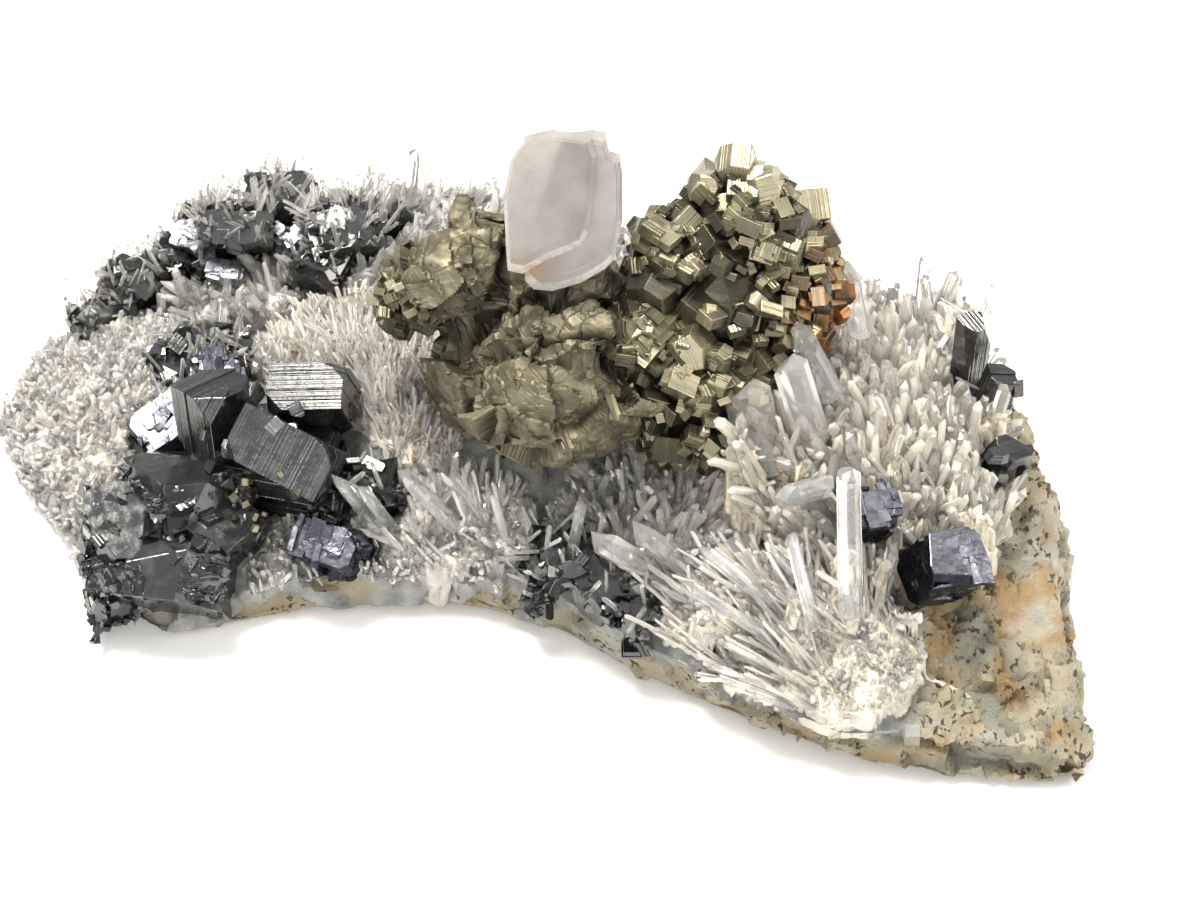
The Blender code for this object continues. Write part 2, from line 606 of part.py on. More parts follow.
def main():
    for old in list(bpy.data.objects):
        bpy.data.objects.remove(old)
    collection = bpy.data.collections.new(SPECIMEN)
    bpy.context.scene.collection.children.link(collection)

    # Each piece is cut clear of all the pieces before it.
    before = []

    def add(name, finish_name, parts_of):
        cutters = [part for earlier in before for part in earlier(GAP)]
        finish(make_piece(name, parts_of(0.0), cutters), finish_name, collection)
        before.append(parts_of)

    add("matrix_rock", "matrix", slab_parts)
    add("calcite_tablets", "calcite", calcite_parts)
    add("pyrite_cube_cluster", "pyrite", cube_parts)
    add("pyrite_stepped_mass", "pyrite", mass_parts)
    for name in BLOCKS:
        add(name, name.split("_")[0], lambda grow, name=name: block_parts(name, grow))
    for name in DRUSES:
        add(name, "quartz", lambda grow, name=name: druse_parts(name, grow))


main()
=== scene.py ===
"""Pyrite with sphalerite and galena on a druse of quartz needles: the looks.

Places and sizes are in millimetres in the frame's axes; meshes are turned to metres when made.
"""

import math
import random

import bmesh
import bpy
import numpy as np
from mathutils import Euler, Matrix, Vector, noise
from mathutils.bvhtree import BVHTree


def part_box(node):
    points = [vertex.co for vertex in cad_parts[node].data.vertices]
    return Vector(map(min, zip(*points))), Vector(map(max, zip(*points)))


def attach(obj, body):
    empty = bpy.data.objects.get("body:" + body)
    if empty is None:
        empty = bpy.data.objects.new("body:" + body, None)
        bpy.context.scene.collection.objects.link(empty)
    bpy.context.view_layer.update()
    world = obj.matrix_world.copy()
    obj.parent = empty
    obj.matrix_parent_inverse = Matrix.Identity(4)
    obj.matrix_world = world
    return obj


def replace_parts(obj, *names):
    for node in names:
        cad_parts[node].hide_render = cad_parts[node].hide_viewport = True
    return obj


noise.seed_set(3)
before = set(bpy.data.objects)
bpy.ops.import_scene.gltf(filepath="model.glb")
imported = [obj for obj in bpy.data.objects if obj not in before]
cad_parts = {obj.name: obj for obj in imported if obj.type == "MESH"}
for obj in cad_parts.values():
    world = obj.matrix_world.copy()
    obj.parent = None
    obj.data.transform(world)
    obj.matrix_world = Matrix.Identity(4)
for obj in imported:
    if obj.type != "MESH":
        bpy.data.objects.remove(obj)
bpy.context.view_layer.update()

MM = 0.001
BODY = "root"
MINERALS = ("pyrite", "sphalerite", "galena", "calcite")

# The camera: what it looks at, how far off and how high above the horizon.
CAMERA_TARGET = (15, -14, 30)
CAMERA_DISTANCE = 430
CAMERA_ELEVATION = 47
CAMERA_LENS = 76
CAMERA_SENSOR = 36

# Studio, in metres. Lights: name, place, width and height, power.
LIGHTS = [
    ("key", (-0.2, 0.2, 0.95), (0.4, 0.35), 18),
    ("side", (0.9, -0.1, 0.45), (0.3, 0.6), 5),
    ("front", (-0.2, -1.0, 0.75), (0.7, 0.4), 6),
]
LIGHT_AIM = (0, 0, 0.03)
LIGHT_COLOUR = (1, 0.965, 0.90)
FLOOR_SIZE = 8
# The sky's grey at two heights of the view direction.
SKY = [(0.05, 0.32), (0.95, 1.0)]

# The slab: mesh size, height below which it is even, where its worn right end starts and over what
# length, its pale upper band's depth and right end, and the tan stain's middle and reach.
ROCK_VOXEL = 0.9
ROCK_FOOT = 0.6
WORN_FROM = 60
WORN_OVER = 8
RIM_WIDTH = 4
RIM_END = 62
STAIN_MIDDLE = Vector((84, -40, 10))
STAIN_REACH = 28

# Quartz patches. crust: the crust's share of the patch's height; focus: where the needles fan out
# from; gap: how close needles stand; beyond: how far the longest stand out of the patch's solid;
# longest: their greatest length; radius: range; jitter: how untidy they are; spray: size of the
# sprays that needles gather in and how strongly; milky: share of cloudy needles; pale: how light
# the crust is, lower values darkening it towards near-black, partly painted shade for shaded patches
# such as the one under the overhanging pyrite and partly the darker look of clear quartz; warm: how
# creamy the quartz is; lean: a way that all needles lean; bare: middle and radius of a place where
# the crust is thick and almost without needles.
PATCHES = {
    "quartz_druse_right": dict(
        crust=0.68, focus=(74, -22, -22), gap=1.15, beyond=5, longest=14, radius=(0.35, 1.5), jitter=0.3,
        spray=(9, 0.6), milky=0.5, pale=1, lean=(-0.15, 0, 0.1), warm=0.55, bare=None,
    ),
    "quartz_druse_right_front": dict(
        crust=0.5, focus=(64, -54, 0), gap=1.1, beyond=8, longest=14, radius=(0.2, 0.6), jitter=0.22,
        spray=(8, 0.7), milky=0.5, pale=1, lean=(-0.5, 0, 0.1), warm=0.25, bare=((64, -56), 16),
    ),
    "quartz_druse_centre": dict(
        crust=0.4, focus=(30, -28, 0), gap=1.3, beyond=3, longest=11, radius=(0.4, 1.2), jitter=0.3,
        spray=(8, 0.6), milky=0.15, pale=0.35, lean=(0, 0, 0), warm=0.1, bare=None,
    ),
    "quartz_druse_front": dict(
        crust=0.42, focus=(4, -32, -4), gap=1.2, beyond=4, longest=11, radius=(0.3, 0.9), jitter=0.25,
        spray=(8, 0.7), milky=0.3, pale=0.7, lean=(0, 0, 0), warm=0.1, bare=None,
    ),
    "quartz_druse_middle": dict(
        crust=0.6, focus=(-14, -6, -12), gap=0.85, beyond=2, longest=7, radius=(0.2, 0.5), jitter=0.25,
        spray=(6, 0.5), milky=0.6, pale=1, lean=(0, 0, 0), warm=0.2, bare=None,
    ),
    "quartz_druse_left": dict(
        crust=0.7, focus=(-76, 14, -12), gap=1.0, beyond=0.5, longest=4, radius=(0.3, 0.95), jitter=0.9,
        spray=(5, 0.3), milky=0.5, pale=0.85, lean=(0, 0, 0), warm=0.1, bare=None,
    ),
    "quartz_druse_back": dict(
        crust=0.6, focus=(-28, 36, -20), gap=1.2, beyond=4, longest=10, radius=(0.3, 1.4), jitter=0.45,
        spray=(9, 0.8), milky=0.3, pale=0.62, lean=(0, 0, 0), warm=0.0, bare=None,
    ),
    "quartz_druse_back_right": dict(
        crust=0.6, focus=(32, 28, -10), gap=1.3, beyond=4, longest=10, radius=(0.4, 1.3), jitter=0.35,
        spray=(9, 0.7), milky=0.3, pale=0.68, lean=(0, 0, 0), warm=0.0, bare=None,
    ),
}
CRUST_VOXEL = 0.85
# A bare place's share of the patch's height, and the longest crystals on it.
BARE_CRUST = 0.92
BARE_LENGTH = 1.8
# How far apart a patch's height is read, so that its single spikes don't lift the crust.
SPIKE_SPAN = 1.6
# Needles shorter than this are left to the sugary crystals.
SHORTEST = 1.2
TINT_SPREAD = 0.45

# How deep the crust's unseen rest lies in the slab, and deeper where the slab is worn, from an x on.
BURIED = (2.5, 6)
BURIED_RIGHT_FROM = 79

# Places in plan where no quartz grows: middle and radius.
BARE_SPOTS = [(73, -47, 4.5), (87.5, -31, 7.5), (77, -50, 3)]

# Sugary crystals between the needles.
SUGAR_GAP = 1.15
SUGAR_LENGTH = (1.0, 2.6)
SUGAR_RADIUS = (0.35, 0.9)

# Clear crystals that stand out: root, tip, radius.
CLEAR_CRYSTALS = [
    ((54, -9, 38), (47, -4, 51), 2.9), ((54, 2, 38), (52, 3, 55), 2.0),
    ((60, 4, 40), (57, 7, 54), 2.1), ((52, -26, 34), (44, -35, 41), 2.6),
    ((56, -45, 24), (54, -38, 52), 2.3), ((50, -46, 22), (45, -43, 42), 1.4),
    ((44, -46, 18), (28, -43, 30), 1.4), ((46, -42, 20), (31, -38, 33), 1.3),
    ((24, -31, 18), (13, -32, 29), 2.4), ((10, -27, 16), (12, -29, 33), 1.4),
    ((30, -30, 18), (20, -32, 31), 2.0),
    ((-23, -19, 15), (-30, -17, 28), 1.9), ((-21, -18, 14), (-26, -19, 27), 1.4),
    ((-10, -18, 15), (-19, -18, 29), 1.9), ((-4, -18, 15), (-10, -19, 30), 1.3),
    ((-22, 58, 20), (-20, 61, 33), 2.0), ((-40, 56, 20), (-43, 60, 32), 1.9),
]

# Frosted flat crystals: root, tip, width and thickness.
QUARTZ_TABLETS = [((43, -19, 30), (39, -13, 45), 10, 5.4), ((51, -16, 34), (46, -11, 49), 8, 4.6)]

# Groups with quartz grown over them, and how many crystals each bears.
OVERGROWN = {
    "sphalerite_back_left": 260, "sphalerite_back": 150, "sphalerite_left_edge": 130,
    "sphalerite_stack_left": 60, "sphalerite_front": 40, "sphalerite_middle": 20,
    "sphalerite_right_tip": 14, "galena_left": 16,
}
OVERGROWTH_LENGTH = (1.5, 6)
OVERGROWTH_RADIUS = (0.15, 0.55)
OVERGROWTH_TINT = 0.4

# Edges of the slab that small crystals overgrow: box in which they root, how many are tried, their
# lengths, radii and lean.
EDGE_GROWTH = [
    ((57, 13, 11), (84, 33, 24), 5200, (5, 13), (0.4, 1.4), (0, 0.1, 1.6)),
    ((-100, -26, 3), (-72, 32, 24), 26000, (1, 2.8), (0.35, 1.0), (0, 0, 0.5)),
    ((-58, -40, 8), (-2, -14, 20), 14000, (0.8, 2.2), (0.3, 0.8), (0, 0, 0.5)),
    ((-14, 14, 10), (46, 42, 30), 16000, (1, 3.2), (0.35, 0.9), (0, 0, 0.5)),
]
EDGE_WARM = 0.1
EDGE_MILKY = 0.5

RUST_GRAINS = 130
RUST_GRAIN_SIZE = (0.4, 0.95)

# Quartz: pale and warm colour, transmission, roughness, subsurface share.
QUARTZ_LOOKS = {
    "glassy": ((1, 0.995, 0.975), (1, 0.955, 0.87), 0.85, 0.06, 0.4),
    "milky": ((1, 0.985, 0.95), (0.99, 0.91, 0.77), 0.55, 0.12, 0.6),
    "clear": ((0.99, 0.985, 0.97), (0.99, 0.985, 0.97), 0.88, 0.05, 0.3),
    "frosted": ((0.95, 0.93, 0.90), (0.95, 0.93, 0.90), 0.85, 0.14, 0.15),
}

# Pyrite: dark and light colour, range of roughness, pitch of the striations, depth of the bumps.
PYRITE_LOOKS = {
    "cubes": ((0.075, 0.07, 0.05), (0.40, 0.365, 0.25), (0.27, 0.44), 0.35, 0.05),
    "stepped": ((0.075, 0.068, 0.047), (0.25, 0.225, 0.155), (0.5, 0.7), 0.45, 0.12),
}
SPHALERITE_PITCH = 0.4

# The cube cluster: core lobes (middle, half axes) and its named cubes (middle, edge).
CUBE_CORE = [
    ((31, -7, 36), (11, 9, 11)), ((37, 6, 44), (14, 13, 16)),
    ((39, 10, 57), (9, 8, 11)), ((48, 8, 45), (7, 9, 12)),
    ((28, 6, 55), (6, 6, 8)), ((22, -4, 45), (4, 5, 7)),
]
CORE_INSET = 1.4
LARGE_CUBES = [
    ((24.5, 0.5, 53.5), 8.6), ((31, -2, 52), 7.5), ((38, 14, 69), 6.6), ((42, 11, 67), 6.5),
    ((33, 12, 66), 5.5), ((42, 5, 59), 7.5), ((39, -1, 50), 7), ((27, 10, 61), 5.5),
    ((46, 9, 60), 7.5), ((50, 14, 60), 7), ((53, 11, 56), 6.5), ((30, -7, 47), 7.5),
    ((25, -9, 42), 7.5), ((33, -11, 41), 7), ((24, -14, 37), 7), ((36, 8, 63), 7),
    ((30, 5, 58), 6.5), ((47, 1, 49), 7), ((54, 8, 49), 7), ((41, 19, 58), 8),
    ((36, 4, 57), 8), ((27, -16, 33), 7), ((40, -5, 44), 7), ((34, 17, 62), 8),
]
# Cubes of the cluster that are pyritohedra instead, by their number in LARGE_CUBES.
ROUNDED_CUBES = (0, 2, 3, 4, 6, 8, 11, 15, 19, 22)
SMALL_CUBES = 1700
SMALL_CUBE_EDGE = (1.5, 4.3)
# Neighbouring small cubes within such a distance stand nearly parallel.
CUBE_FAMILY = 8
# Clear height between the slab and the lowest cubes.
CUBE_CLEARANCE = 4
RUSTY_MIDDLE = Vector((54, 4, 44))
RUSTY_REACH = 13

# Lobes of the stepped mass, which meet in sunk seams darkened with painted shade.
PYRITE_LOBES = [
    ((6, -13, 41), (14, 11, 12)), ((-9, 10, 46), (12, 11, 11)), ((8, 5, 46), (13, 11, 12)),
    ((-1, 2, 32), (15, 13, 14)), ((1, -10, 38), (9, 8, 10)), ((7, -5, 48), (13, 8, 8)),
    ((-17, 11, 42), (7, 7, 8)),
]
MASS_VOXEL = 0.44
SEAM_WIDTH = 0.13
SEAM_DEPTH = 1.8
# The hole in the mass's left knob, sunk and darkened with painted shade.
HOLE = Vector((-17.5, 4.5, 44.5))
HOLE_RADIUS = 3.4
HOLE_DEPTH = 3.5
KNOB_CUBES = 460
PYRITE_GRAINS_AT = Vector((-40, -17, 20))
PYRITE_GRAINS_ON = ("sphalerite_prisms_left", "sphalerite_front_left", "matrix_rock")

# Blocks of sphalerite and galena: middle, sides and turn in degrees.
BLOCKS = {
    "sphalerite_front_left": [
        ((-57, -13, 18), (19, 15, 12), (-18, 14, 35)), ((-67, -19, 13), (15, 15, 14), (15, 10, 10)),
        ((-59, -26, 12), (21, 12, 13), (28, 0, -8)), ((-68, -25, 9), (10, 9, 9), (0, 12, 28)),
        ((-51, -19, 14), (12, 11, 10), (12, 8, 50)),
    ],
    "sphalerite_prisms_left": [
        ((-51, -4, 27), (11, 11, 15), (-12, 8, 42)), ((-39, -12, 27), (19, 10, 9), (38, 14, -24)),
        ((-35, 1, 27), (14, 9, 12), (22, -8, -6)), ((-42, -5, 18), (21, 16, 12), (4, 0, -14)),
    ],
    "sphalerite_stack_left": [
        ((-56, 20, 19), (14, 8, 9), (14, 6, 12)), ((-61, 16, 18), (10, 8, 8), (0, 16, 30)),
    ],
    "sphalerite_back_left": [
        ((-53, 46, 26), (14, 8, 14), (38, 6, 4)), ((-46, 53, 26), (13, 9, 11), (20, 20, 30)),
        ((-58, 50, 21), (13, 10, 10), (10, 0, 50)),
    ],
    "sphalerite_back": [
        ((-33, 45, 26), (15, 10, 10), (24, 10, 20)), ((-28, 50, 24), (12, 9, 9), (10, 25, 50)),
        ((-37, 40, 22), (11, 9, 9), (15, 0, 70)),
    ],
    "sphalerite_left_edge": [
        ((-71, 41, 17), (13, 9, 9), (18, 8, 38)), ((-64, 44, 19), (10, 8, 9), (0, 20, 10)),
        ((-79, 36, 13), (11, 7, 7), (10, 0, 40)),
    ],
    "sphalerite_front": [
        ((8, -26, 14), (12, 10, 12), (15, 10, 30)), ((15, -32, 15), (13, 9, 10), (10, 20, -35)),
        ((22, -37, 13), (8, 7, 7), (24, 0, 50)),
    ],
    "sphalerite_middle": [
        ((-25, -12, 16), (12, 9, 11), (15, 10, 25)), ((-31, -14, 15), (8, 7, 9), (0, 22, 60)),
    ],
    "sphalerite_right_tip": [
        ((80, 8, 31), (4.4, 5, 20.5), (8, -8, 30)), ((84, 3, 25), (5, 5, 12.5), (0, 12, 10)),
    ],
    "sphalerite_right": [((85, -9, 22), (5.5, 5.5, 8.5), (12, 10, 30))],
    "galena_front_left": [
        ((-32, -22, 14), (12, 7, 9), (30, 8, -20)), ((-29, -21, 12), (8, 7, 8), (10, 20, 30)),
    ],
    "galena_right": [((72, -35, 24), (12, 10, 11), (22, 12, 24))],
    "galena_right_back": [((59, -31, 33), (8, 7, 8), (20, 8, 15))],
    "galena_left": [((-62, 3, 18), (12, 9, 7), (18, -14, 38))],
    "galena_left_back": [((-54, 12, 21), (9, 7, 7), (25, 10, 12))],
}
# Sphalerite groups broken into small crystals: share of each block's size, and count of shards.
BROKEN_GROUPS = {
    "sphalerite_front_left": (1.0, 190), "sphalerite_back_left": (1.0, 70), "sphalerite_back": (1.0, 50),
    "sphalerite_left_edge": (0.9, 80), "sphalerite_stack_left": (0.9, 50), "sphalerite_middle": (0.9, 40),
    "sphalerite_front": (0.9, 60),
}
BODY_VOXEL = 0.6
# A broken body's facets of two kinds: size and depth.
BODY_FACETS = [(8.0, 2.2), (3.0, 0.7)]
BLOCK_BREAKS = 9
SPHALERITE_CUT = 0.36
PLATE_THICKNESS = (0.7, 2.6)
PLATE_SHRINK = 0.06
SHARD_SIZE = (1.5, 4.6)
SHARD_THICKNESS = (0.3, 0.6)
# Shards stand above this height, and in some groups below one drawn from a range.
SHARD_FOOT = 8
SHARD_TOPS = {"sphalerite_front_left": (13, 24)}
GALENA_CUT = 0.2
GALENA_STEPS = 44
# Small bright flakes of galena in the back druse: middle and the direction their flat side faces.
FLAKES = [
    ((-62, 45, 25), (-0.08, -0.26, 0.96)), ((-43, 43, 27), (-0.05, -0.24, 0.97)),
    ((-55, 38, 22), (-0.1, -0.3, 0.94)),
]
FLAKES_EACH = 7

CALCITE_MIDDLE = (8.7, -2.2, 70.6)
CALCITE_LEAN = 21
# Distance behind the front face, thickness and corners of each tablet.
CALCITE_TABLETS = [
    (0.0, 4.2, [(-8, 10.8), (-5.7, 14), (-1.6, 15.2), (4.9, 14.2), (5.7, 11.4), (5.2, 3.7), (4.4, -1.7),
                (3.3, -4), (-2.4, -6.5), (-6.4, -8.9), (-8.8, -8.4), (-8.9, -5.8), (-9.3, 3.7)]),
    (3.4, 5.2, [(0, 13), (5.2, 13.7), (7.2, 13.3), (8, 10), (9.6, 9.5), (10, 6.8), (10, -1.2), (8.6, -7.9),
                (7.2, -9.5), (3.1, -11.9), (-1.6, -13.5), (-4.7, -13.1), (-6.1, -11.6), (-6.4, -6)]),
]
# Rings of each tablet: share of its outline, and height in from the back (first three) or front.
CALCITE_RINGS = [
    (0.92, 0.0, 0), (0.99, 0.8, 0), (1.0, 1.2, 0), (0.99, -0.9, 1), (0.91, -0.1, 1), (0.86, 0.0, 1),
    (0.83, 0.25, 1),
]
# The bevel's inner rings sit higher than its outer ones, so it is widest at the foot, where its painted
# highlight is palest.
BEVEL_RISE = 9
BEVEL_RING = 3
# The calcite's rusty tinge: middle, inner and outer reach in metres.
RUST_MIDDLE = (0.003, -0.004, 0.0605)
RUST_INNER = 0.002
RUST_OUTER = 0.007


# Reading the frame's solids.


def clamp(value):
    return max(0.0, min(1.0, value))


def solid(node):
    """A node's mesh as a bmesh in millimetres, with its corners merged."""
    bm = bmesh.new()
    bm.from_mesh(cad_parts[node].data)
    bmesh.ops.scale(bm, vec=(1 / MM,) * 3, verts=bm.verts)
    bmesh.ops.remove_doubles(bm, verts=bm.verts, dist=0.002)
    return bm


def tree_of(nodes):
    """One search tree over several nodes."""
    whole = bmesh.new()
    for node in nodes:
        bm = solid(node)
        mesh = bpy.data.meshes.new("part")
        bm.to_mesh(mesh)
        bm.free()
        whole.from_mesh(mesh)
        bpy.data.meshes.remove(mesh)
    tree = BVHTree.FromBMesh(whole)
    whole.free()
    return tree


slab_tree = tree_of(["matrix_rock"])
mineral_nodes = [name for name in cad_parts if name.startswith(MINERALS)]
mineral_tree = tree_of(mineral_nodes)


def drop(tree, x, y):
    """The highest point of a tree at a place in plan, or None."""
    return tree.ray_cast(Vector((x, y, 200)), Vector((0, 0, -1)))[0]


def surface_points(node, count, dice, lowest=-0.3):
    """Random points on a node's surface with their outward directions, even by area."""
    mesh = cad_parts[node].data
    mesh.calc_loop_triangles()
    triangles = [t for t in mesh.loop_triangles if t.normal.z > lowest]
    areas = [t.area for t in triangles]
    points = []
    for triangle in dice.choices(triangles, areas, k=count):
        a, b, c = [mesh.vertices[i].co / MM for i in triangle.vertices]
        u, v = dice.random(), dice.random()
        if u + v > 1:
            u, v = 1 - u, 1 - v
        points.append((a + u * (b - a) + v * (c - a), triangle.normal.copy()))
    return points


def remeshed(node, voxel):
    """A node's solid as an even mesh of quads in millimetres: its vertices, normals and faces."""
    bm = solid(node)
    mesh = bpy.data.meshes.new("coarse")
    bm.to_mesh(mesh)
    bm.free()
    holder = bpy.data.objects.new("coarse", mesh)
    bpy.context.scene.collection.objects.link(holder)
    modifier = holder.modifiers.new("remesh", "REMESH")
    modifier.mode = "VOXEL"
    modifier.voxel_size = voxel
    bpy.context.view_layer.update()
    fine = bpy.data.meshes.new_from_object(holder.evaluated_get(bpy.context.evaluated_depsgraph_get()))
    bpy.data.objects.remove(holder)
    bpy.data.meshes.remove(mesh)
    vertices = [vert.co.copy() for vert in fine.vertices]
    normals = [normal.vector.copy() for normal in fine.vertex_normals]
    faces = [tuple(face.vertices) for face in fine.polygons]
    bpy.data.meshes.remove(fine)
    return vertices, normals, faces


# Making meshes.


def finish_mesh(name, vertices, faces, smooth=False):
    """An object from vertices in millimetres, riding on the body."""
    mesh = bpy.data.meshes.new(name)
    mesh.from_pydata((np.asarray(vertices) * MM).tolist(), [], faces)
    mesh.update()
    mesh.polygons.foreach_set("use_smooth", [smooth] * len(mesh.polygons))
    made = bpy.data.objects.new(name, mesh)
    bpy.context.scene.collection.objects.link(made)
    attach(made, BODY)
    return made


def store(made, name, values, domain="FACE"):
    """Stores one number for each face, point or corner, for the material to read."""
    attribute = made.data.attributes.new(name, "FLOAT", domain)
    attribute.data.foreach_set("value", np.asarray(values, dtype=float))


def patchy_tints(made):
    """Stores a tint that varies over about three millimetres."""
    store(made, "tint", [0.5 + 0.5 * noise.noise(face.center / MM / 3) for face in made.data.polygons])


def facets(point, size, depth):
    """How far broken faceted stone stands back at a point: flat tilted cells of about size."""
    _, cells = noise.voronoi(point / size)
    cell = cells[0]
    tilt = noise.cell_vector(cell * 7.3)
    return depth * (noise.cell(cell * 3.1) - 0.5) + depth * 1.2 * tilt.dot(point / size - cell)


def ledges(point, size, pitch, depth):
    """How far laminated stone stands back at a point: saw-toothed layers, tilted cell by cell."""
    _, cells = noise.voronoi(point / size)
    way = (noise.cell_vector(cells[0] * 4.1) * 0.6 + Vector((0.1, -0.2, 0.8))).normalized()
    level = point.dot(way) / pitch + 0.5 * noise.noise(point / 5)
    return depth * (level - math.floor(level) - 0.5)


def stria_at(point, where, size):
    """Distance along a direction that each cell of about size has for itself."""
    _, cells = noise.voronoi(where / size)
    return point.dot(noise.cell_vector(cells[0] * 9.1))


def scatter(dice, spread):
    """A random vector."""
    return Vector([dice.gauss(0, spread) for _ in range(3)])


def turned(middle, degrees):
    """A place with a turn in degrees."""
    return Matrix.Translation(middle) @ Euler([math.radians(a) for a in degrees]).to_matrix().to_4x4()


def tilted(normal, tilt, dice):
    """A turn that lays local Z near the normal, with any spin."""
    lean = Euler((dice.uniform(-tilt, tilt), dice.uniform(-tilt, tilt), dice.uniform(0, math.tau)))
    return (normal.to_track_quat("Z", "Y") @ lean.to_quaternion()).to_matrix().to_4x4()


def cut_away(bm, point, normal):
    """Cuts a convex bmesh by a plane, keeps the side behind it and closes the cut."""
    geometry = bm.verts[:] + bm.edges[:] + bm.faces[:]
    cut = bmesh.ops.bisect_plane(bm, geom=geometry, plane_co=point, plane_no=normal, clear_outer=True)
    edges = [item for item in cut["geom_cut"] if isinstance(item, bmesh.types.BMEdge)]
    if len(edges) > 2:
        bmesh.ops.contextual_create(bm, geom=edges)


def reach_of(way, size):
    """How far a box reaches along a direction, summed over its full sides."""
    return sum(abs(w) * side for w, side in zip(way, size))


def soften(bm, width):
    bmesh.ops.bevel(bm, geom=bm.edges[:], offset=width, affect="EDGES", segments=1)


def cube(size):
    bm = bmesh.new()
    bmesh.ops.create_cube(bm, size=1)
    bmesh.ops.scale(bm, vec=size, verts=bm.verts)
    return bm


def box_with_cuts(size, cut, all_corners):
    """A box with all of its corners cut, or every second one."""
    bm = bmesh.new()
    bmesh.ops.create_cube(bm, size=1)
    corners = [vert for vert in bm.verts if all_corners or vert.co.x * vert.co.y * vert.co.z > 0]
    bmesh.ops.scale(bm, vec=size, verts=bm.verts)
    bmesh.ops.bevel(bm, geom=corners, offset=cut * min(size), affect="VERTICES", segments=1, profile=0.5)
    return bm


def pyritohedron(size):
    """Twelve five-sided faces in a box of the given sides."""
    bm = bmesh.new()
    far, near = 1.35, 0.88
    for x in (-1, 1):
        for y in (-1, 1):
            for z in (-1, 1):
                bm.verts.new((x, y, z))
            bm.verts.new((0, far * x, near * y))
            bm.verts.new((near * x, 0, far * y))
            bm.verts.new((far * x, near * y, 0))
    bmesh.ops.convex_hull(bm, input=bm.verts)
    bmesh.ops.dissolve_limit(bm, angle_limit=math.radians(12), verts=bm.verts, edges=bm.edges)
    bmesh.ops.scale(bm, vec=[side / (2 * far) for side in size], verts=bm.verts)
    return bm


class Heap:
    """Collects convex pieces: a tint and a stain for each face, a stria for each corner."""

    def __init__(self):
        self.vertices, self.faces, self.tints, self.stains, self.striae = [], [], [], [], []

    def add(self, bm, place_at, tint, along=2, stain=0.0):
        """Adds a bmesh given in its own axes; striations cross the axis given by along, if any."""
        bm.verts.index_update()
        bm.normal_update()
        start = len(self.vertices)
        self.vertices += [place_at @ vert.co for vert in bm.verts]
        for face in bm.faces:
            self.faces.append([start + vert.index for vert in face.verts])
            self.tints.append(tint)
            self.stains.append(stain)
            facing = max(range(3), key=lambda axis: abs(face.normal[axis]))
            if along is None:
                self.striae += [tint] * len(face.verts)
                continue
            across = along if facing != along else (along + 1) % 3
            self.striae += [vert.co[across] + 13.7 * tint for vert in face.verts]
        bm.free()

    def make(self, name, material):
        made = finish_mesh(name, self.vertices, self.faces)
        store(made, "tint", self.tints)
        store(made, "stain", self.stains)
        store(made, "stria", self.striae, "CORNER")
        made.data.materials.append(material)
        return made


# Parts of materials.


def add(material, kind, inputs=(), **settings):
    """Adds a node. inputs pairs sockets, by name or number, with values or with other sockets."""
    made = material.node_tree.nodes.new(kind)
    for key, value in settings.items():
        setattr(made, key, value)
    for key, value in dict(inputs).items():
        socket = made.inputs[key]
        if isinstance(value, bpy.types.NodeSocket):
            material.node_tree.links.new(value, socket)
        else:
            socket.default_value = value
    return made


def new_material(name, **values):
    """A material and its Principled shader, whose plain sockets are set by name."""
    made = bpy.data.materials.new(name)
    made.use_nodes = True
    shader = made.node_tree.nodes["Principled BSDF"]
    for key, value in values.items():
        shader.inputs[key.replace("_", " ")].default_value = value
    return made, shader


def join(material, source, target):
    material.node_tree.links.new(source, target)


def place(material, stretch=(1, 1, 1), turn=(0, 0, 0)):
    """Object coordinates, which are metres in the frame, stretched or turned."""
    source = add(material, "ShaderNodeTexCoord").outputs["Object"]
    if stretch == (1, 1, 1) and turn == (0, 0, 0):
        return source
    inputs = {"Vector": source, "Scale": stretch, "Rotation": turn}
    return add(material, "ShaderNodeMapping", inputs).outputs[0]


def grain(material, size, detail=3.0, rough=0.5, where=None):
    """Noise with features of about size millimetres, from 0 to 1."""
    where = where or place(material)
    inputs = {"Vector": where, "Scale": 1 / (size * MM), "Detail": detail, "Roughness": rough}
    return add(material, "ShaderNodeTexNoise", inputs).outputs["Fac"]


def ramp(material, source, stops):
    """A colour ramp; stops pair places with colours or grey values."""
    made = add(material, "ShaderNodeValToRGB", {"Fac": source})
    elements = made.color_ramp.elements
    while len(elements) < len(stops):
        elements.new(0.5)
    for element, (spot, colour) in zip(elements, stops):
        element.position = spot
        element.color = (*colour, 1) if isinstance(colour, tuple) else (colour, colour, colour, 1)
    return made.outputs["Color"]


def mix(material, share, first, second):
    """Colour between first and second."""
    made = add(material, "ShaderNodeMix", data_type="RGBA")
    for socket, value in ((0, share), (6, first), (7, second)):
        if isinstance(value, bpy.types.NodeSocket):
            join(material, value, made.inputs[socket])
        else:
            made.inputs[socket].default_value = value if socket == 0 else (*value, 1)
    return made.outputs[2]


def maths(material, operation, first, second):
    return add(material, "ShaderNodeMath", {0: first, 1: second}, operation=operation).outputs[0]


def times(material, first, second):
    return maths(material, "MULTIPLY", first, second)


def blend(material, share, first, second):
    """share of the first value and the rest of the second."""
    return maths(material, "ADD", times(material, first, share), times(material, second, 1 - share))


def attribute(material, name):
    return add(material, "ShaderNodeAttribute", attribute_name=name).outputs["Fac"]


def bump(material, shader, height, depth, before=None):
    """Bumps the surface by height, whose full range is depth millimetres."""
    inputs = {"Height": height, "Distance": depth * MM, "Strength": 1.0}
    if before:
        inputs["Normal"] = before
    made = add(material, "ShaderNodeBump", inputs).outputs[0]
    join(material, made, shader.inputs["Normal"])
    return made


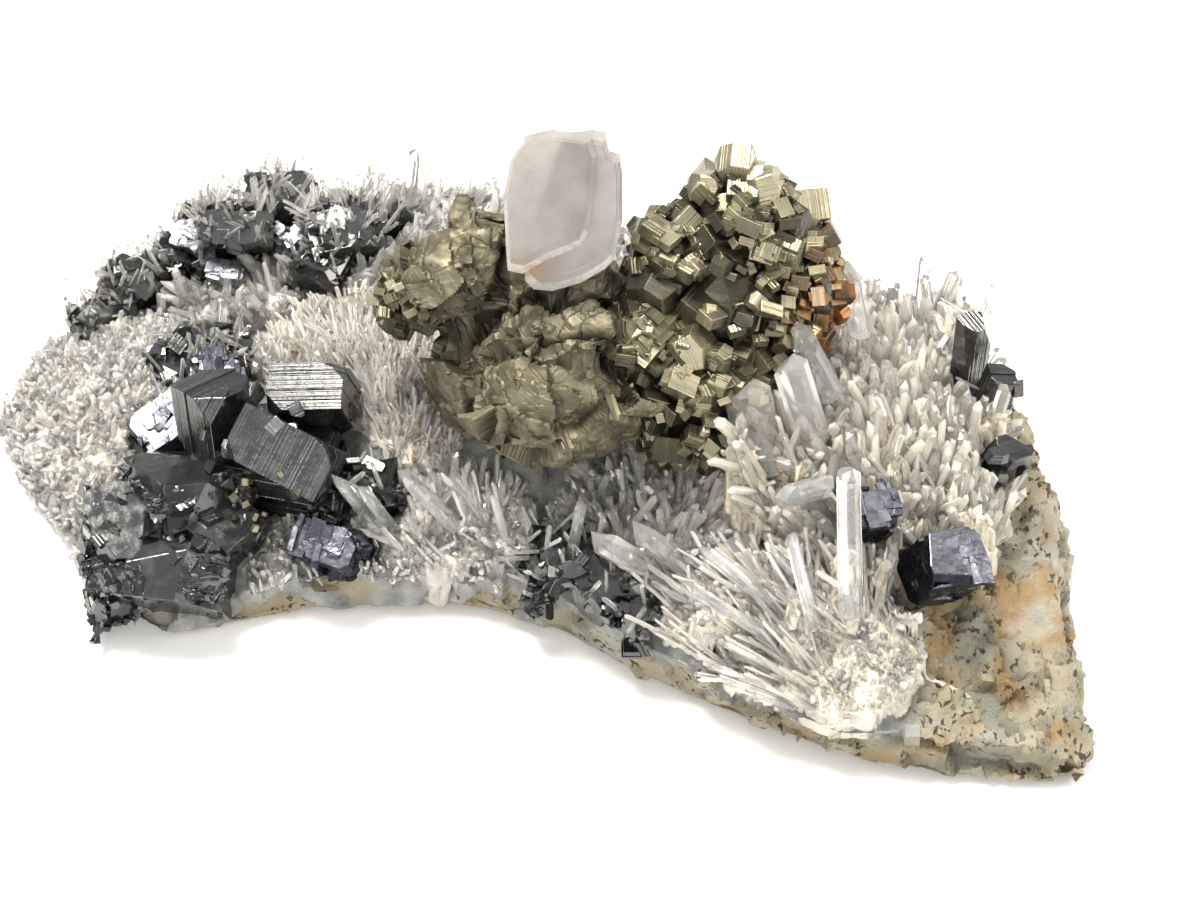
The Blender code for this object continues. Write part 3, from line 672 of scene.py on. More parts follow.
def striated(material, shader, pitch, depth):
    """Fine ribs across the stria attribute, pitch millimetres apart."""
    inputs = {"W": attribute(material, "stria"), "Scale": 1 / pitch, "Detail": 2.0}
    lines = add(material, "ShaderNodeTexNoise", inputs, noise_dimensions="1D").outputs["Fac"]
    return bump(material, shader, lines, depth)


# Materials.


def rock_material():
    """Altered rock: cream and grey with tan stains and black specks, and a bluish quartz rim."""
    made, shader = new_material("rock", Roughness=0.8, Specular_IOR_Level=0.35)
    tones = [(0.36, (0.295, 0.252, 0.157)), (0.52, (0.38, 0.347, 0.266)), (0.64, (0.31, 0.315, 0.277))]
    broad = ramp(made, grain(made, 14, 5), tones)
    tan = ramp(made, grain(made, 8, 6), [(0.47, 0.0), (0.60, 0.9)])
    colour = mix(made, times(made, tan, attribute(made, "stain")), broad, (0.295, 0.19, 0.08))
    greenish = grain(made, 13, 4, where=place(made, turn=(0.4, 0.2, 0.9)))
    colour = mix(made, ramp(made, greenish, [(0.55, 0.0), (0.66, 0.6)]), colour, (0.20, 0.21, 0.155))
    specks = grain(made, 1.2, 2, where=place(made, (1, 0.6, 1.4), (0.3, 0.6, 0.2)))
    specks = ramp(made, specks, [(0.58, 0.0), (0.62, 1.0)])
    swarms = ramp(made, grain(made, 10, 4, where=place(made, turn=(1, 2, 3))), [(0.39, 0.0), (0.49, 1.0)])
    colour = mix(made, times(made, specks, swarms), colour, (0.02, 0.018, 0.015))
    fine = grain(made, 0.7, 4, 0.7)
    colour = mix(made, times(made, fine, 0.45), colour, (0.20, 0.16, 0.10))
    band = ramp(made, grain(made, 4, 3), [(0.35, (0.18, 0.19, 0.195)), (0.65, (0.35, 0.35, 0.325))])
    colour = mix(made, attribute(made, "rim"), colour, band)
    join(made, colour, shader.inputs["Base Color"])
    first = bump(made, shader, fine, 0.5)
    bump(made, shader, grain(made, 0.25, 2), 0.15, first)
    return made


def crust_material():
    """The sugary quartz that the needles grow from."""
    made, shader = new_material(
        "quartz_crust", Roughness=0.3, IOR=1.54, Subsurface_Weight=0.3, Subsurface_Scale=0.002,
        Subsurface_Radius=(1, 0.9, 0.8),
    )
    creamy = maths(made, "ADD", attribute(made, "warm"), times(made, grain(made, 9, 4), 0.5))
    warm = ramp(made, creamy, [(0.25, (0.78, 0.745, 0.67)), (0.85, (0.82, 0.69, 0.50))])
    cloud = ramp(made, grain(made, 3, 4, where=place(made, turn=(2, 1, 0))), [(0.35, 0.6), (0.65, 0.0)])
    colour = mix(made, cloud, warm, (0.60, 0.565, 0.505))
    # partly painted shade: pale below 1 darkens the crust towards near-black, partly for the darker look of
    # clear quartz
    colour = mix(made, attribute(made, "pale"), (0.10, 0.098, 0.095), colour)
    join(made, colour, shader.inputs["Base Color"])
    first = bump(made, shader, grain(made, 0.9, 3, 0.7), 0.6)
    bump(made, shader, grain(made, 0.3, 2, 0.6), 0.15, first)
    return made


def quartz_material(kind):
    """Translucent quartz; each crystal's tint runs from pale to warm."""
    pale, warm, clear, rough, milk = QUARTZ_LOOKS[kind]
    made, shader = new_material(
        "quartz_" + kind, Roughness=rough, IOR=1.54, Transmission_Weight=clear, Specular_IOR_Level=0.6,
        Subsurface_Weight=milk, Subsurface_Scale=0.003, Subsurface_Radius=(1, 0.95, 0.9),
    )
    colour = ramp(made, attribute(made, "tint"), [(0.0, pale), (1.0, warm)])
    join(made, colour, shader.inputs["Base Color"])
    return made


def pyrite_material(kind):
    """Brassy grey sulphide with fine striations; each crystal has its own tint, and the shade attribute
    paints shade near-black into the stepped mass's seams and hole.
    """
    dark, light, rough, pitch, crumple = PYRITE_LOOKS[kind]
    made, shader = new_material("pyrite_" + kind, Metallic=0.92)
    share = blend(made, 0.6, attribute(made, "tint"), grain(made, 5, 4, 0.6))
    colour = ramp(made, share, [(0.25, dark), (0.75, light)])
    patches = ramp(made, grain(made, 3, 4), [(0.4, 0.0), (0.6, 1.0)])
    colour = mix(made, times(made, attribute(made, "stain"), patches), colour, (0.32, 0.13, 0.04))
    # painted shade: darkens towards near-black where the shade attribute is high, in the mass's seams and
    # hole
    colour = mix(made, attribute(made, "shade"), colour, (0.012, 0.01, 0.008))
    join(made, colour, shader.inputs["Base Color"])
    join(made, ramp(made, grain(made, 2, 4), [(0.3, rough[0]), (0.7, rough[1])]), shader.inputs["Roughness"])
    first = striated(made, shader, pitch, 0.12)
    where = place(made, (0.6, 0.6, 1.6), (0.3, 0.2, 0))
    bump(made, shader, grain(made, 0.9, 5, 0.65, where=where), crumple, first)
    return made


def sphalerite_material():
    """Black with a bright lustre and fine ribs."""
    made, shader = new_material("sphalerite", IOR=1.8)
    share = blend(made, 0.5, attribute(made, "tint"), grain(made, 5, 4))
    colour = ramp(made, share, [(0.3, (0.004, 0.004, 0.005)), (0.75, (0.025, 0.026, 0.028))])
    join(made, colour, shader.inputs["Base Color"])
    join(made, ramp(made, grain(made, 2.5, 4), [(0.35, 0.05), (0.65, 0.28)]), shader.inputs["Roughness"])
    first = striated(made, shader, SPHALERITE_PITCH, 0.08)
    bump(made, shader, grain(made, 1.2, 4, 0.5), 0.035, first)
    return made


def galena_material():
    """Lead grey with a faint lilac cast; the tint carries painted highlight and shade, bright on the blocks'
    tops and dark on their sides.
    """
    made, shader = new_material("galena", Metallic=0.95)
    share = blend(made, 0.7, attribute(made, "tint"), grain(made, 3, 5))
    tones = [(0.25, (0.018, 0.02, 0.027)), (0.5, (0.075, 0.077, 0.098)), (0.85, (0.35, 0.35, 0.395))]
    join(made, ramp(made, share, tones), shader.inputs["Base Color"])
    join(made, ramp(made, grain(made, 1.5, 4), [(0.35, 0.22), (0.65, 0.4)]), shader.inputs["Roughness"])
    bump(made, shader, grain(made, 1.6, 5, 0.6), 0.25)
    return made


def calcite_material():
    """Frosted, faintly pink, with a painted highlight that makes its bevelled edges paler, and a rusty tinge
    low down.
    """
    made, shader = new_material(
        "calcite", Roughness=0.28, IOR=1.5, Transmission_Weight=0.5, Subsurface_Weight=0.08,
        Subsurface_Scale=0.002, Subsurface_Radius=(1, 0.95, 0.9),
    )
    veil = ramp(made, grain(made, 7, 5), [(0.36, (0.50, 0.47, 0.44)), (0.62, (0.37, 0.338, 0.318))])
    inputs = {0: place(made), 1: RUST_MIDDLE}
    apart = add(made, "ShaderNodeVectorMath", inputs, operation="DISTANCE").outputs["Value"]
    inputs = {0: apart, 1: RUST_INNER, 2: RUST_OUTER, 3: 0.75, 4: 0.0}
    near = add(made, "ShaderNodeMapRange", inputs).outputs[0]
    rust = times(made, near, ramp(made, grain(made, 3, 4), [(0.35, 0.2), (0.6, 1.0)]))
    colour = mix(made, rust, veil, (0.50, 0.26, 0.11))
    # painted highlight: the bevel faces are painted near-white, in patches
    broken = ramp(made, grain(made, 1.6, 4, 0.6), [(0.35, 0.35), (0.6, 1.0)])
    colour = mix(made, times(made, attribute(made, "bevel"), broken), colour, (0.85, 0.83, 0.80))
    join(made, colour, shader.inputs["Base Color"])
    first = bump(made, shader, grain(made, 2.2, 6, 0.65), 0.3)
    bump(made, shader, grain(made, 0.6, 3, 0.6), 0.05, first)
    return made


def rust_material():
    """Orange-brown iron oxide."""
    made, _ = new_material("rust", Base_Color=(0.28, 0.14, 0.05, 1), Roughness=0.6)
    return made


# The slab of rock.


def make_rock(material):
    """The slab with broken facets, rougher at its worn right end."""
    vertices, normals, faces = remeshed("matrix_rock", ROCK_VOXEL)
    placed = []
    for point, normal in zip(vertices, normals):
        shift = 0.0
        if point.z > ROCK_FOOT:
            worn = clamp((point.x - WORN_FROM) / WORN_OVER)
            warped = point + 1.6 * noise.noise_vector(point / 3.5) + 0.5 * noise.noise_vector(point / 1.4)
            shift = facets(warped, 6.0, 1.0) + 0.5 * noise.noise(point / 2.2) + 0.9 * noise.noise(point / 9)
            shift += worn * (facets(warped, 9.0, 1.6) + 0.6 * noise.noise(warped / 2.5))
            shift *= min(1.0, (point.z - ROCK_FOOT) / 2)
        placed.append(point + normal * shift - normal * 0.4)
        placed[-1].z = max(placed[-1].z, 0.0)
    made = finish_mesh("rock_slab", placed, faces, smooth=True)
    rims, stains = [], []
    for face in made.data.polygons:
        middle = face.center / MM
        top = drop(slab_tree, middle.x, middle.y)
        low = (top.z - middle.z) if top else 8.0
        front = clamp(1 - (middle.x - RIM_END) / 8)
        wave = 2.0 * noise.noise(middle / 6)
        rims.append(clamp((RIM_WIDTH + wave - low) / 1.5) * front)
        stains.append(clamp(1.6 - (middle - STAIN_MIDDLE).length / STAIN_REACH) * 0.8 + 0.2)
    store(made, "rim", rims)
    store(made, "stain", stains)
    made.data.set_sharp_from_angle(angle=math.radians(40))
    made.data.materials.append(material)
    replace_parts(made, "matrix_rock")


# Quartz.


def axes_along(ways, spins):
    """Right-handed axes with the third along each way, turned by spins: arrays of shape (n, 3)."""
    ways = ways / np.linalg.norm(ways, axis=1)[:, None]
    side = np.cross(np.where(np.abs(ways[:, 2:]) < 0.9, (0.0, 0.0, 1.0), (1.0, 0.0, 0.0)), ways)
    side /= np.linalg.norm(side, axis=1)[:, None]
    other = np.cross(ways, side)
    right = side * np.cos(spins)[:, None] + other * np.sin(spins)[:, None]
    return right, np.cross(ways, right), ways


def crystal_points(roots, tips, radii, seed, point=1.1, taper=0.06):
    """Vertices and faces of six-sided crystals with uneven pyramids on their ends."""
    dice = np.random.default_rng(seed)
    roots, tips, radii = np.asarray(roots, float), np.asarray(tips, float), np.asarray(radii, float)
    count = len(roots)
    lengths = np.linalg.norm(tips - roots, axis=1)
    right, front, way = axes_along(tips - roots, dice.uniform(0, math.tau, count))
    flat = dice.uniform(0.6, 1.0, count)
    angles = np.arange(6) * math.tau / 6 + dice.uniform(-0.2, 0.2, (count, 6))
    across = np.cos(angles) * radii[:, None]
    along = np.sin(angles) * (radii * flat)[:, None]
    slant = dice.uniform(-0.7, 0.7, (count, 2))
    pyramid = np.minimum(point * radii * dice.uniform(0.5, 1.6, count), 0.4 * lengths)
    shoulder = (lengths - pyramid)[:, None] + slant[:, :1] * across + slant[:, 1:] * along
    shoulder = np.minimum(shoulder, lengths[:, None] - 0.25 * pyramid[:, None])

    def spot(u, v, w):
        return (
            roots[:, None]
            + u[..., None] * right[:, None]
            + v[..., None] * front[:, None]
            + w[..., None] * way[:, None]
        )

    low = spot(across, along, np.zeros((count, 6)))
    high = spot(across * (1 - taper), along * (1 - taper), shoulder)
    lean = dice.uniform(-0.45, 0.45, (count, 2)) * radii[:, None]
    apex = spot(lean[:, :1], lean[:, 1:], lengths[:, None])
    vertices = np.concatenate([low, high, apex], axis=1).reshape(-1, 3)
    pattern = [(i, (i + 1) % 6, 6 + (i + 1) % 6, 6 + i) for i in range(6)]
    pattern += [(6 + i, 6 + (i + 1) % 6, 12) for i in range(6)] + [(5, 4, 3, 2, 1, 0)]
    faces = [tuple(13 * k + i for i in face) for k in range(count) for face in pattern]
    return vertices, faces, len(pattern)


def bareness(patch, x, y):
    """How deep in the patch's bare place a spot is: 1 in its middle, 0 or less beside it."""
    if not patch["bare"]:
        return 0.0
    middle, radius = patch["bare"]
    return 1 - math.hypot(x - middle[0], y - middle[1]) / radius


def crust_share(patch, x, y):
    """The crust's share of the patch's height at a place in plan."""
    return patch["crust"] + (BARE_CRUST - patch["crust"]) * clamp(2.5 * bareness(patch, x, y))


def crust_level(patch, tree, x, y):
    """Height of a patch's crust at a place in plan, or None beside the patch."""
    ground = drop(slab_tree, x, y)
    around = [(0, 0), (SPIKE_SPAN, 0), (-SPIKE_SPAN, 0), (0, SPIKE_SPAN), (0, -SPIKE_SPAN)]
    tops = [drop(tree, x + dx, y + dy) for dx, dy in around]
    if not ground or not tops[0] or any(math.hypot(x - a, y - b) < radius for a, b, radius in BARE_SPOTS):
        return None
    heights = sorted(top.z if top else ground.z for top in tops)
    top = min(tops[0].z, heights[1] + 1)
    if top < ground.z + 1.5:
        return None
    return ground.z + crust_share(patch, x, y) * (top - ground.z) - 0.5


def make_crust(name, patch, tree, material):
    """The patch's bed: its solid pressed down towards the slab, with a sugary surface."""
    vertices, normals, faces = remeshed(name, CRUST_VOXEL)
    placed = []
    for point, normal in zip(vertices, normals):
        ground = drop(slab_tree, point.x, point.y)
        if not ground:
            nearest = slab_tree.find_nearest(point)[0]
            placed.append(nearest + BURIED[0] * (nearest - point).normalized())
            continue
        low = min(ground.z, point.z)
        height = low + crust_share(patch, point.x, point.y) * (point.z - low) - 0.5
        level = crust_level(patch, tree, point.x, point.y)
        if level:
            height = min(height, level + 0.3)
        else:
            height = min(height, ground.z - BURIED[point.x > BURIED_RIGHT_FROM])
        spot = Vector((point.x, point.y, height))
        spot += normal * (0.5 * noise.noise(point / 1.5) + 0.7 * noise.noise(point / 4) - 0.4)
        placed.append(spot)
    made = finish_mesh(name.replace("druse", "crust"), placed, faces, smooth=True)
    # pale carries the patch's painted shade, warm its creaminess
    for key in ("pale", "warm"):
        store(made, key, [patch[key]] * len(faces))
    made.data.materials.append(material)


def spots_on(name, patch, tree, gap, dice):
    """Random places on a patch's crust, tried one for each square of side gap."""
    low, high = [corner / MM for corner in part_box(name)]
    for _ in range(int((high.x - low.x) * (high.y - low.y) / gap**2)):
        x, y = dice.uniform(low.x, high.x), dice.uniform(low.y, high.y)
        z = crust_level(patch, tree, x, y)
        if z is not None:
            yield x, y, z


def needle_places(name, patch, tree):
    """Roots, tips and radii of a patch's needles, which gather in sprays."""
    dice = random.Random(name)
    focus = Vector(patch["focus"])
    spray_size, spray_pull = patch["spray"]
    thin, thick = patch["radius"]
    roots, tips, radii = [], [], []
    for x, y, z in spots_on(name, patch, tree, patch["gap"], dice):
        root = Vector((x, y, z - 0.6))
        _, centres = noise.voronoi(Vector((x, y, 0)) / spray_size)
        centre = centres[0] * spray_size
        apart = Vector((x - centre.x, y - centre.y, 0)) / spray_size
        lean = noise.cell_vector(centres[0] * 3.7)
        way = (root - focus).normalized() + spray_pull * (1.3 * apart + 0.6 * Vector((lean.x, lean.y, 0)))
        way = way + Vector(patch["lean"]) + patch["jitter"] * scatter(dice, 1)
        way.normalize()
        leave = tree.ray_cast(root, way)[3]
        if not leave:
            continue
        size = dice.random()
        beyond = patch["beyond"] * size**2 * (1 if way.z > 0.35 or way.x < 0 else 0.2)
        length = min(leave * (0.5 + 0.5 * size) + beyond, patch["longest"] * dice.uniform(0.7, 1))
        if bareness(patch, x, y) > 0.2:
            length = min(length, BARE_LENGTH)
        hit = mineral_tree.ray_cast(root, way, length + 0.5)
        if hit[0]:
            length = hit[3] - 0.3
        if length < SHORTEST:
            continue
        roots.append(root)
        tips.append(root + way * length)
        share = 0.4 * size + 0.6 * dice.random() ** 2
        radii.append(min(0.3 * length, thin + share * (thick - thin)))
    return roots, tips, radii


def sugar_places(name, patch, tree, dice):
    """Roots, tips and radii of the tiny crystals that cover the crust between the needles."""
    roots, tips, radii = [], [], []
    for x, y, z in spots_on(name, patch, tree, SUGAR_GAP, dice):
        way = (scatter(dice, 0.8) + Vector((0, 0, 1))).normalized()
        root = Vector((x, y, z - 0.8))
        roots.append(root)
        tips.append(root + way * dice.uniform(*SUGAR_LENGTH))
        radii.append(dice.uniform(*SUGAR_RADIUS))
    return roots, tips, radii


def crystal_mesh(name, roots, tips, radii, seed, warm, cloudy, materials):
    """Crystals, each glassy or milky and with a tint of its own from warm up."""
    vertices, faces, each = crystal_points(roots, tips, radii, seed)
    made = finish_mesh(name, vertices, faces)
    dice = np.random.default_rng(seed)
    store(made, "tint", np.repeat(warm + dice.uniform(0, TINT_SPREAD, len(roots)), each))
    for material in materials:
        made.data.materials.append(material)
    milky = dice.uniform(0, 1, len(roots)) < cloudy
    made.data.polygons.foreach_set("material_index", np.repeat(milky, each).astype(np.int32))
    return made


def make_needles(name, patch, tree, materials):
    """A patch's needles and the sugary crystals between them. Returns the needles' tips."""
    roots, tips, radii = needle_places(name, patch, tree)
    needle_tips = list(tips)
    seed = sum(map(ord, name))
    for old, new in zip((roots, tips, radii), sugar_places(name, patch, tree, random.Random(seed))):
        old += new
    piece = name.replace("druse", "needles")
    made = crystal_mesh(piece, roots, tips, radii, seed, patch["warm"], patch["milky"], materials)
    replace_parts(made, name)
    return needle_tips


def make_edge_growth(materials):
    """Crystals on the slab's own edges where no patch reaches."""
    dice = random.Random(45)
    for number, (low, high, count, lengths, widths, lean) in enumerate(EDGE_GROWTH):
        roots, tips, radii = [], [], []
        for point, normal in surface_points("matrix_rock", count, dice, -0.1):
            if not all(a < p < b for a, p, b in zip(low, point, high)):
                continue
            way = (0.6 * normal + Vector(lean) + scatter(dice, 0.3)).normalized()
            length = dice.uniform(*lengths)
            if mineral_tree.ray_cast(point, way, length + 0.5)[0]:
                continue
            roots.append(point - 0.8 * way)
            tips.append(point + length * way)
            radii.append(min(0.3 * length, dice.uniform(*widths)))
        name = "quartz_edge_%d" % (number + 1)
        crystal_mesh(name, roots, tips, radii, 50 + number, EDGE_WARM, EDGE_MILKY, materials)


def make_overgrowth(material):
    """Thin quartz crystals that grew over the broken sphalerite groups."""
    dice = random.Random(44)
    roots, tips, radii = [], [], []
    for node, count in OVERGROWN.items():
        for point, normal in surface_points(node, count, dice, 0.1):
            way = (normal + Vector((0, 0, 0.6)) + scatter(dice, 0.5)).normalized()
            roots.append(point - 1.5 * way)
            tips.append(point + way * dice.uniform(*OVERGROWTH_LENGTH))
            radii.append(dice.uniform(*OVERGROWTH_RADIUS))
    vertices, faces, each = crystal_points(roots, tips, radii, 9)
    made = finish_mesh("quartz_overgrowth", vertices, faces)
    tints = np.random.default_rng(9).uniform(0, OVERGROWTH_TINT, len(roots))
    store(made, "tint", np.repeat(tints, each))
    made.data.materials.append(material)


def make_clear_crystals(material):
    """The larger glassy crystals."""
    roots, tips, radii = zip(*CLEAR_CRYSTALS)
    vertices, faces, _ = crystal_points(roots, tips, radii, 7, point=1.3, taper=0.08)
    made = finish_mesh("quartz_clear_crystals", vertices, faces)
    store(made, "tint", np.zeros(len(faces)))
    made.data.materials.append(material)


def make_tablets(material):
    """Flat frosted quartz crystals that face the front, each ending in two slanted faces."""
    heap = Heap()
    for root, tip, width, thickness in QUARTZ_TABLETS:
        root, way = Vector(root), Vector(tip) - Vector(root)
        length = way.length
        way.normalize()
        side = way.cross(Vector((0, -0.7, 0.7))).normalized()
        bm = cube((width, thickness, length))
        for lean in (-1, 1):
            edge = Vector((lean * 0.5 * width - lean * 0.9, 0, 0))
            for slope in (0.9, -0.9):
                cut_away(bm, edge, Vector((lean, slope, 0)).normalized())
        cut_away(bm, Vector((0, 0, 0.46 * length)), Vector((0.22, -0.3, 1)).normalized())
        cut_away(bm, Vector((0, 0, 0.47 * length)), Vector((-0.5, 0.3, 1)).normalized())
        soften(bm, 0.12)
        turn = Matrix((side, way.cross(side), way)).transposed().to_4x4()
        heap.add(bm, Matrix.Translation(root + way * 0.5 * length) @ turn, 0.2)
    heap.make("quartz_tablets", material)


def make_rust_grains(tips, material):
    """Orange-brown grains caught near the tips of the middle patch's needles."""
    dice = random.Random(12)
    heap = Heap()
    for tip in dice.sample(tips, RUST_GRAINS):
        size = dice.uniform(*RUST_GRAIN_SIZE)
        bm = box_with_cuts([size * dice.uniform(0.6, 1) for _ in range(3)], 0.3, True)
        turn = tilted(Vector((0, 0, 1)), 3, dice)
        heap.add(bm, Matrix.Translation(tip - Vector((0, 0, dice.uniform(0.2, 2)))) @ turn, dice.random())
    heap.make("rust_grains", material)


# Pyrite.


def squares(point, lump, margin=0.0):
    """A point's squared distance from a lobe's middle, in the lobe's half axes."""
    middle, half = lump
    return sum(((p - m) / (r + margin)) ** 2 for p, m, r in zip(point, middle, half))


def rustiness(point):
    return clamp(1.25 - (point - RUSTY_MIDDLE).length / RUSTY_REACH)


def make_cubes(material):
    """The cluster: its named crystals, and many small ones set into the core in parallel families."""
    dice = random.Random(21)
    turning = random.Random(6)
    heap = Heap()
    for number, (middle, edge) in enumerate(LARGE_CUBES):
        rounded = number in ROUNDED_CUBES
        size = [edge * (1.1 if rounded else dice.uniform(0.5, 0.85)) for _ in range(3)]
        turn = Euler([turning.uniform(0, math.pi / 2) for _ in range(3)]).to_matrix().to_4x4()
        bm = pyritohedron(size) if rounded else cube(size)
        soften(bm, 0.12)
        place_at = Matrix.Translation(middle) @ turn
        heap.add(bm, place_at, dice.random(), number % 3, rustiness(Vector(middle)))
    for _ in range(SMALL_CUBES):
        middle, half = CUBE_CORE[dice.randrange(len(CUBE_CORE))]
        way = scatter(dice, 1).normalized()
        edge = SMALL_CUBE_EDGE[0] + (SMALL_CUBE_EDGE[1] - SMALL_CUBE_EDGE[0]) * dice.random() ** 1.6
        point = Vector([m + (r + 1.6) * w for m, r, w in zip(middle, half, way)])
        if any(squares(point, lump, -0.4) < 1 for lump in CUBE_CORE):
            continue
        ground = drop(slab_tree, point.x, point.y)
        if ground and point.z < ground.z + CUBE_CLEARANCE:
            continue
        normal = Vector([w / r for w, r in zip(way, half)]).normalized()
        size = [edge * dice.uniform(*span) for span in ((0.75, 1.35), (0.6, 1.1), (0.4, 0.85))]
        _, cells = noise.voronoi(point / CUBE_FAMILY)
        family = noise.cell_vector(cells[0] * 5.3)
        loose = 0.14 if dice.random() < 0.7 else 0.7
        spreads = zip((0.5, 0.5, 1.5), family)
        turn = Euler([spread * side + dice.uniform(-loose, loose) for spread, side in spreads])
        bm = pyritohedron([edge * 1.1] * 3) if dice.random() < 0.15 else cube(size)
        soften(bm, 0.05)
        spot = point + normal * dice.uniform(-0.4, 0.12) * edge
        place_at = Matrix.Translation(spot) @ turn.to_matrix().to_4x4()
        heap.add(bm, place_at, dice.random(), dice.randrange(3), rustiness(spot))
    for middle, half in CUBE_CORE:
        lump = bmesh.new()
        bmesh.ops.create_icosphere(lump, subdivisions=3, radius=1)
        heap.add(lump, Matrix.LocRotScale(middle, None, [side - CORE_INSET for side in half]), 0.0)
    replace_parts(heap.make("pyrite_cubes", material), "pyrite_cube_cluster")


def seam(point):
    """From 0 to 1 where two lobes of the mass meet."""
    reach = sorted(math.sqrt(squares(point, lobe)) for lobe in PYRITE_LOBES)
    return max(0.0, 1 - (reach[1] - reach[0]) / SEAM_WIDTH)


def make_mass(material):
    """The stepped half: rounded lobes covered in scales, with sunk seams and a hole that get painted shade.
    """
    vertices, normals, faces = remeshed("pyrite_stepped_mass", MASS_VOXEL)
    placed, striae, shades = [], [], []
    for point, normal in zip(vertices, normals):
        wobble = point + 1.3 * noise.noise_vector(point / 5)
        fine = point + 0.5 * noise.noise_vector(point / 1.5)
        scaly = Vector((fine.x / 1.9, fine.y / 1.9, fine.z)) + 0.8 * noise.noise_vector(point / 3)
        shift = facets(wobble, 9, 1.9) + facets(scaly, 3.2, 0.27) + facets(fine, 1.6, 0.08)
        shift += ledges(fine, 7, 2.4, 0.24)
        gap = seam(point + 1.1 * noise.noise_vector(point / 4)) ** 2
        pit = max(0.0, 1 - (point - HOLE).length / HOLE_RADIUS) ** 0.5
        placed.append(point + normal * (shift + 0.1 - SEAM_DEPTH * gap - HOLE_DEPTH * pit))
        # painted shade: the shade value darkens the seams and the hole in the material
        shades.append(min(0.97, 0.9 * gap + pit))
        striae.append(stria_at(wobble, wobble, 8))
    made = finish_mesh("pyrite_stepped", placed, faces, smooth=True)
    patchy_tints(made)
    store(made, "stain", np.zeros(len(faces)))
    store(made, "stria", striae, "POINT")
    store(made, "shade", shades, "POINT")
    made.data.set_sharp_from_angle(angle=math.radians(30))
    made.data.materials.append(material)
    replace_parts(made, "pyrite_stepped_mass")


def make_knob_cubes(material):
    """Small crystals on the stepped mass's left knob and along its lower edge."""
    dice = random.Random(31)
    heap = Heap()
    for point, normal in surface_points("pyrite_stepped_mass", KNOB_CUBES, dice, -0.6):
        knob = point.x < dice.uniform(-19, -15)
        low = point.z < dice.uniform(26, 33) and point.y < -8
        if (knob or low) and (point - HOLE).length > HOLE_RADIUS + 1:
            bm = cube([dice.uniform(0.9, 2.6) for _ in range(3)])
            soften(bm, 0.08)
            place_at = Matrix.Translation(point - 0.4 * normal) @ tilted(normal, 0.5, dice)
            heap.add(bm, place_at, dice.random())
    heap.make("pyrite_knob_cubes", material)


def make_pyrite_grains(material):
    """Small pyrite grains scattered in the hollow between the black groups at the left."""
    dice = random.Random(17)
    heap = Heap()
    for node in PYRITE_GRAINS_ON:
        for point, normal in surface_points(node, 900, dice, 0.0):
            if (point - PYRITE_GRAINS_AT).length < dice.uniform(2, 9):
                bm = cube([dice.uniform(0.6, 1.5) for _ in range(3)])
                place_at = Matrix.Translation(point + 0.3 * normal) @ tilted(normal, 1, dice)
                heap.add(bm, place_at, dice.random())
    heap.make("pyrite_grains", material)


# Sphalerite and galena.


def add_plated_block(heap, middle, size, turn, dice):
    """A block grown as parallel plates of uneven width, with a few corners broken off."""
    along = max(range(3), key=lambda axis: size[axis])
    along = (along + 1) % 3 if size[(along + 1) % 3] < size[(along + 2) % 3] else (along + 2) % 3
    place_at = turned(middle, turn)
    normal = Vector([axis == along for axis in range(3)])
    broken = []
    for _ in range(3):
        way = Vector([dice.choice((-1, 1)) * dice.uniform(0.3, 1) / side for side in size]).normalized()
        broken.append((way, dice.uniform(0.72, 0.9) * reach_of(way, size) / 2))
    low = -size[along] / 2
    while low < size[along] / 2 - 0.2:
        high = low + dice.uniform(*PLATE_THICKNESS)
        if high > size[along] / 2 - 0.4:
            high = size[along] / 2
        bm = box_with_cuts(size, SPHALERITE_CUT, False)
        if high < size[along] / 2:
            cut_away(bm, normal * high, normal)
        if low > -size[along] / 2:
            cut_away(bm, normal * low, -normal)
        for way, reach in broken:
            cut_away(bm, way * reach, way)
        if bm.verts:
            narrow = [1 if axis == along else 1 - PLATE_SHRINK * dice.random() for axis in range(3)]
            bmesh.ops.scale(bm, vec=narrow, verts=bm.verts)
            soften(bm, 0.09)
            heap.add(bm, place_at, dice.random(), along)
        low = high


def add_broken_block(heap, middle, size, turn, dice):
    """A block with its corners and edges broken away in flat faces."""
    bm = cube(size)
    for _ in range(BLOCK_BREAKS):
        way = Vector([dice.gauss(0, 1) / side for side in size]).normalized()
        cut_away(bm, way * (dice.uniform(0.62, 0.9) * reach_of(way, size) / 2), way)
    soften(bm, 0.1)
    heap.add(bm, turned(middle, turn), dice.random(), None)


def add_shards(heap, node, count, dice, tilt):
    """Broken flat pieces sunk in a node's surface, away from its foot."""
    top = SHARD_TOPS.get(node)
    for point, normal in surface_points(node, count, dice):
        size = dice.uniform(*SHARD_SIZE)
        depth = size * dice.uniform(*SHARD_THICKNESS)
        bm = box_with_cuts([size * dice.uniform(0.6, 1), size * dice.uniform(0.6, 1), depth], 0.3, False)
        for _ in range(3):
            way = Vector([dice.gauss(0, 1), dice.gauss(0, 1), dice.gauss(0, 0.4)]).normalized()
            cut_away(bm, way * size * dice.uniform(0.2, 0.4), way)
        soften(bm, 0.07)
        sunk = point - normal * (0.5 * depth - dice.uniform(-0.7, 0.4))
        turn = tilted(normal, tilt, dice)
        if point.z < SHARD_FOOT or (top and point.z > dice.uniform(*top)):
            bm.free()
            continue
        heap.add(bm, Matrix.Translation(sunk) @ turn, dice.random())


